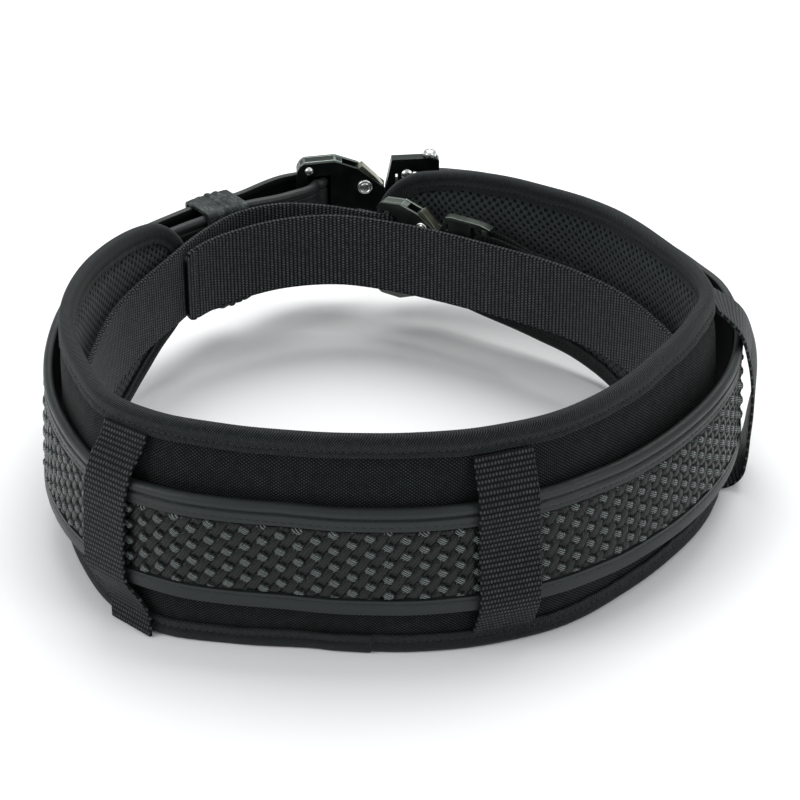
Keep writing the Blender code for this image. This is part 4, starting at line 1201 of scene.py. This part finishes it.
across_steps = np.linspace(-0.5, 0.5, 55)
profile = [(side, KEEPER_THICK) for side in across_steps] + [(0.5, KEEPER_THICK * 0.5)]
profile += [(side, 0.0) for side in across_steps[::-1]] + [(-0.5, KEEPER_THICK * 0.5)]
rings = [keeper_ring(0.0), keeper_ring(KEEPER_THICK)]
count = min(len(ring) for ring in rings)
inner, outer = (ring[np.linspace(0, len(ring), count, endpoint=False).astype(int)] for ring in rings)
keeper, column, row = grid("keeper_band", len(profile), count)
side, thick = np.array(profile)[column % len(profile)].T
outward = (thick / KEEPER_THICK)[:, None]
ring = inner[row % count] * (1 - outward) + outer[row % count] * outward
set_points(keeper, np.column_stack([side * KEEPER_WIDTH * MM, ring * MM]))
tidy(keeper)
print("keeper ring:", count, "rows round,", len(profile), "columns")

# %% [markdown]
# ## Folds of the keeper
#
# The keeper was stretched over both strands, so its faces bow a little, and three creases and many
# small wrinkles run up it. Only its outer face is moved. Then the ring is turned and set in place.

# %% Keeper
KEEPER_AT = (-105.5, 162.5)
KEEPER_TURN = math.radians(36.9)
KEEPER_CREASES = (-1.5, 3.0, 8.0)
CREASE_DEPTH = 0.55
CREASE_HALF = 0.6
WRINKLE_DEPTH = 0.45
BOW = 0.8

x, across, up = points_of(keeper).T
wall = KEEPER_THICK / 2
outside = (np.abs(across) > (KEEPER_DEEP + wall) * MM) | (np.abs(up) > (KEEPER_TALL + wall) * MM)
bow = BOW * MM * (1 - (x / (KEEPER_WIDTH / 2 * MM)) ** 2)
creases = [np.exp(-(((x / MM - crease) / CREASE_HALF) ** 2)) for crease in KEEPER_CREASES]
folds = ripple(x, up, 2.6, 30, 31) * WRINKLE_DEPTH * MM + bow
folds = folds - sum(CREASE_DEPTH * MM * crease for crease in creases)
grow = 1.0 + np.where(outside, folds, 0.0) / (12 * MM)
across, up = across * grow, up * (1.0 + (grow - 1.0) * 0.35)
forward = np.array((math.cos(KEEPER_TURN), math.sin(KEEPER_TURN)))
sideways = np.array((-forward[1], forward[0]))
plan = in_plan(KEEPER_AT) + x[:, None] * forward + across[:, None] * sideways
middle = float(BELT.read("base", BELT.nearest(KEEPER_AT))) + BELT_HEIGHT / 2
set_points(keeper, np.column_stack([plan, middle + up]))
dress(keeper, keeper_leather, "black_leather", "belt_keeper", angle=50.0)

# %% [markdown]
# ## Webbing belt
#
# Inside the pad lies a belt of thick webbing with round, full edges. Its first end is folded round
# the buckle's bar, lies a little narrower and is hidden behind the strand. Its free tail is cut
# with rounded corners, and a seam close to the end pulls a dent across it.


# %% Webbing belt
def tape_section(half, tall, round_edge):
    """A flat tape's section with full edges, as rows of distance out and height."""
    turns = np.radians(np.linspace(-90.0, 90.0, 5))[1:-1]
    faces = np.linspace(round_edge, tall - round_edge, 9)
    edge = [(half * math.cos(t + math.pi / 2), round_edge * math.cos(t)) for t in turns]
    top = [(out, tall - round_edge + up) for out, up in edge]
    foot = [(-out, round_edge - up) for out, up in edge]
    return [(half, z) for z in faces] + top[::-1] + [(-half, z) for z in faces[::-1]] + foot[::-1]


def rounded_tail(s, height, stop, tall, radius):
    """Draws a tape's last corners in, so that its end is cut round."""
    near = np.clip((stop - s) / radius, 0.0, 1.0)
    trim = radius * (1.0 - np.sqrt(np.maximum(1.0 - (1.0 - near) ** 2, 0.0)))
    return tall / 2 + (height - tall / 2) * (1.0 - 2.0 * trim / tall)


TAIL_SEAM = WEBBING.length - 7.5 * MM
TAIL_CORNER = 6 * MM
NARROWER = 0.12
WIDENS = (22 * MM, 36 * MM)
DENT = 0.55
WEBBING_WANDER = 0.3

tail = WEBBING.length - 5.5 * MM * (1 - np.cos(np.radians(np.linspace(0.0, 90.0, 10))))
even = stations_of(WEBBING, 2.4 * MM, waist_fold)
dent = TAIL_SEAM + np.linspace(-1.5, 1.5, 7) * MM
parts = [even[even < TAIL_SEAM - 2 * MM], dent, tail[tail > TAIL_SEAM + 1.5 * MM]]
section = tape_section(WEBBING_HALF * MM, WEBBING_HEIGHT, 1.2 * MM)
webbing = rolled("waist_belt_webbing", section, np.sort(np.concatenate(parts)))
map_run(webbing)
s, out, height = points_of(webbing).T
height = rounded_tail(s, height, WEBBING.length, WEBBING_HEIGHT, TAIL_CORNER)
height = height * (1.0 - NARROWER * (1.0 - ease(s, *WIDENS)))
out = out * (1.0 - DENT * np.exp(-(((s - TAIL_SEAM) / (0.8 * MM)) ** 2)))
out = out + WEBBING_WANDER * MM * ripple(s, height, 26, 50, 41)
set_points(webbing, WEBBING.bend(np.column_stack([s, out, height])))
dress(tidy(webbing), nylon_webbing, "nylon_webbing", "waist_webbing", angle=50.0)

# %% [markdown]
# ## Seam of the tail
#
# The free end is sewn across so that it can't fray. The same beads, turned to run up the webbing,
# lie in the dent on both of its faces.

# %% Seam across the free end
ups = np.arange(4 * MM, WEBBING_HEIGHT - 4 * MM, 3.2 * MM)
middles = [(up, face * WEBBING_HALF * 0.55 * MM, 0.0) for face in (1.0, -1.0) for up in ups]
seam = stitch_beads("tail_seam", middles, STITCH_LENGTH, 0.35 * MM)
up, out, along = points_of(seam).T
set_points(seam, np.column_stack([along, out, up]))
map_run(seam)
set_points(seam, WEBBING.bend(np.column_stack([TAIL_SEAM + along, out, up])))
dress(seam, black_thread, "nylon_webbing", angle=60.0)

# %% [markdown]
# ## Hidden tab
#
# Something has to hold the loose half of the waist buckle, and the webbing hides it. It is finished
# plainly: one length of webbing that is doubled round the bar, its two ends beside the belt.

# %% Tab of the waist buckle
TAB_HALF = 0.9
TAB_HEIGHT = 43.0
TAB_PLAY = 0.3
TAB_SEWN = ((99.5, 81.0), (86.0, 91.0), (74.0, 99.0))
tab_base = BUCKLES["waist"]["mid"] - TAB_HEIGHT / 2
sewn_at = [WEBBING.nearest(place) for place in TAB_SEWN]


def beside_webbing(lengths, away):
    """Rows of the tab beside the webbing belt, in the tables' own millimetres."""
    plan = WEBBING.bend([(s, away * MM, 0.0) for s in lengths])[:, :2] / MM + PLAN_MIDDLE
    return tuple((*xy, tab_base) for xy in plan)


near = WEBBING_HALF + TAB_PLAY + TAB_HALF
far = near + 2 * TAB_HALF + TAB_PLAY
tab_fold = fold_rows("waist", waist_bar, TAB_HALF, waist_turn + 290, waist_turn + 70, (tab_base,))
tab_rows = beside_webbing(sewn_at, near) + tab_fold + beside_webbing(sewn_at[::-1], far)
TAB = Band(tab_rows, WEBBING_COLUMNS, TAB_HEIGHT * MM)
section = tape_section(TAB_HALF * MM, TAB_HEIGHT * MM, 0.8 * MM)
tab = rolled("anchor_tab", section, stations_of(TAB, 2.4 * MM, tab_fold))
dress(tidy(carry(tab, TAB.bend)), tab_webbing, "nylon_webbing", "webbing_anchor", angle=50.0)

# %% [markdown]
# ## Buckles
#
# Plates, frames and levers were cut flat, and their shapes are already right. Each one is copied,
# its loose triangles are merged into whole faces, and a bevel rounds its edges. The bevel carries a
# pale finish of its own, a painted highlight along each edge.


# %% Flat pieces of the buckles
def bevelled(node, name, finish, slot, width, body="root"):
    """A bevelled copy of a flat piece, its edges in a pale second finish that is a painted highlight."""
    piece = bpy.data.objects.new(name, NODES[node].data.copy())
    bpy.context.scene.collection.objects.link(piece)
    tidy(piece, merge=2e-6, whole=True)
    piece.data.materials.clear()
    piece.data.materials.append(finish)
    piece.data.materials.append(painted_edge_highlight)
    bpy.ops.object.modifier_add(type="BEVEL")
    bevel = piece.modifiers[-1]
    bevel.width = width
    bevel.segments = 3
    bevel.limit_method = "ANGLE"
    bevel.angle_limit = math.radians(20.0)
    bevel.use_clamp_overlap = True
    # The bevel's faces take the pale edge finish, a painted highlight
    bevel.material = 1
    bpy.ops.object.modifier_apply(modifier=bevel.name)
    bpy.ops.object.shade_smooth_by_angle(angle=math.radians(32.0))
    bpy.ops.object.modifier_add(type="WEIGHTED_NORMAL")
    piece.modifiers[-1].keep_sharp = True
    bpy.ops.object.modifier_apply(modifier=piece.modifiers[-1].name)
    return settle(piece, slot, node, body=body)


for buckle, finish, width in (("main", coated_alloy, 0.85 * MM), ("waist", rubbed_alloy, 0.75 * MM)):
    for part in ("front_plate", "back_plate", "core", "male_frame"):
        bevelled(f"{buckle}_buckle_{part}", f"{buckle}_{part}", finish, "black_coated_alloy", width)
    for side in ("top", "bottom"):
        node, name = f"{buckle}_buckle_lever_{side}", f"{buckle}_release_{side}"
        bevelled(node, name, bare_bronze, "lever_alloy", width, body=f"{buckle}_lever_{side}")

# %% [markdown]
# ## The core's window
#
# The leather's fold fills the window in the main buckle's core. In the photograph no light comes
# through beside it, so the window's far edge is moved up to the fold, which rests against it.

# %% Window of the core
WINDOW_EDGE = (-28.5 * MM, -24.5 * MM)
WINDOW_HALF = 29.8 * MM
CLOSED_BY = 5.6 * MM

core = bpy.data.objects["main_core"]
corners = points_of(core)
turn = math.radians(BUCKLES["main"]["turn"])
ahead = np.array((math.cos(turn), math.sin(turn)))
along = (corners[:, :2] - in_plan(in_buckle("main", 0.0))) @ ahead
above = np.abs(corners[:, 2] - BUCKLES["main"]["mid"] * MM)
window = (along > WINDOW_EDGE[0]) & (along < WINDOW_EDGE[1]) & (above < WINDOW_HALF)
corners[window, :2] -= CLOSED_BY * ahead
set_points(core, corners)
print("core: moved", int(window.sum()), "corners")

# %% [markdown]
# ## Turned pieces
#
# Bars, rivets, pins and studs were turned on a lathe. Each one's profile is the frame's: rows of
# radius and height along its axis, in its buckle's units, with the corners cut a little so that
# they catch light. A grid is rolled round the axis with enough sides to look round.

# %% Profiles of the turned pieces
ARM_INNER = 30.6
BAR_GAP = 0.3
NECK = 2.0
LONG_NECK = 4.3
SHORT_NECK = 1.3
HEADS_AT = 39.1
CORNER_CUT = 0.18
BAR_HEAD = ((0, 3.9), (2.2, 3.6), (3.7, 2.5), (4, 1.2), (4, 0))
RIVET = (
    (0, 7.8), (2.2, 7.4), (2.8, 6.9), (3.4, 7.5), (4.4, 7.0), (4.4, 6.3), (2, 6.3), (2, -6.3),
    (4, -6.3), (4, -7.2), (0, -7.2),
)
PIN = ((0, 8.1), (1.6, 7.7), (2.5, 6.8), (2.5, 6.3), (1.5, 6.3), (1.5, 4.1), (0, 4.1))
STUD = (
    (0, 5.8), (2.2, 5.2), (3.5, 4.3), (3.5, 3.8), (1.5, 3.8), (1.5, -3.8), (2.6, -3.8), (2.6, -4.6),
    (0, -4.6),
)


def bar_profile(neck, head=None):
    """A bar between two arms, with thin necks, and heads where it passes through their corners."""
    shoulder = ARM_INNER - BAR_GAP
    upper = [(0.0, ARM_INNER + neck), (NECK, ARM_INNER + neck)]
    if head:
        upper = [(radius, head + BAR_GAP + up) for radius, up in BAR_HEAD] + [(NECK, head + BAR_GAP)]
    upper += [(NECK, shoulder), (BAR_RADIUS, shoulder)]
    return upper + [(radius, -up) for radius, up in reversed(upper)]


def softened(profile):
    """A profile with each corner cut twice, so that edges are round and domes are smooth."""
    rows = np.array(profile, float)
    for _ in range(2):
        cut = np.diff(rows, axis=0) * CORNER_CUT
        between = np.stack([rows[:-1] + cut, rows[1:] - cut], axis=1).reshape(-1, 2)
        rows = np.concatenate([rows[:1], between, rows[-1:]])
    return rows


print("rivet profile:", len(softened(RIVET)), "rows")

# %% [markdown]
# ## Bars, rivets, pins and studs
#
# A bar stands upright in its buckle. Rivets, pins and studs go through the plates, so their axis
# points to the front, and those of the lower half mirror those of the upper.


# %% Turning the pieces
def turned_piece(buckle_name, part, name, profile, along, up=0.0, to_front=False, sides=32):
    """A turned piece of a buckle, at a place along it and up from its middle, in its units."""
    buckle = BUCKLES[buckle_name]
    rows = softened(profile)
    piece, column, row = grid(f"{buckle_name}_{name}", len(rows) - 1, sides)
    radius, height = rows[column].T
    turns = 2 * math.pi * row / sides
    flat = np.column_stack([radius * np.cos(turns), radius * np.sin(turns), height])
    flat = flat * buckle["unit"] * MM
    if to_front:
        flat = flat[:, [0, 2, 1]] * (1.0, -1.0, 1.0)
    turn = math.radians(buckle["turn"])
    ahead, behind = (math.cos(turn), math.sin(turn)), (-math.sin(turn), math.cos(turn))
    plan = in_plan(in_buckle(buckle_name, along)) + flat[:, :1] * ahead + flat[:, 1:2] * behind
    middle = (buckle["mid"] + up * buckle["unit"]) * MM
    set_points(piece, np.column_stack([plan, flat[:, 2] + middle]))
    return dress(tidy(piece), plated_steel, "plated_steel", f"{buckle_name}_buckle_{part}", angle=40.0)


ACROSS = (
    # buckle, node, name, profile, and its place along the buckle and up from its middle
    ("main", "rivet", "rivet", RIVET, -10.0, 23.0),
    ("waist", "rivet", "rivet", RIVET, -10.0, 23.0),
    ("main", "arm_pin", "pin", PIN, -42.7, 33.8),
    ("main", "male_stud", "stud", STUD, 15.0, 29.0),
)
for buckle in BUCKLES:
    turned_piece(buckle, "strap_bar", "fold_bar", bar_profile(LONG_NECK), STRAP_BAR_AT)
turned_piece("main", "male_bar", "headed_bar", bar_profile(LONG_NECK, HEADS_AT), main_bar)
turned_piece("waist", "male_bar", "tab_bar", bar_profile(SHORT_NECK), waist_bar)
for side, sign in (("top", 1.0), ("bottom", -1.0)):
    for buckle, part, name, profile, along, up in ACROSS:
        turned_piece(buckle, f"{part}_{side}", f"{name}_{side}", profile, along, up * sign, to_front=True)
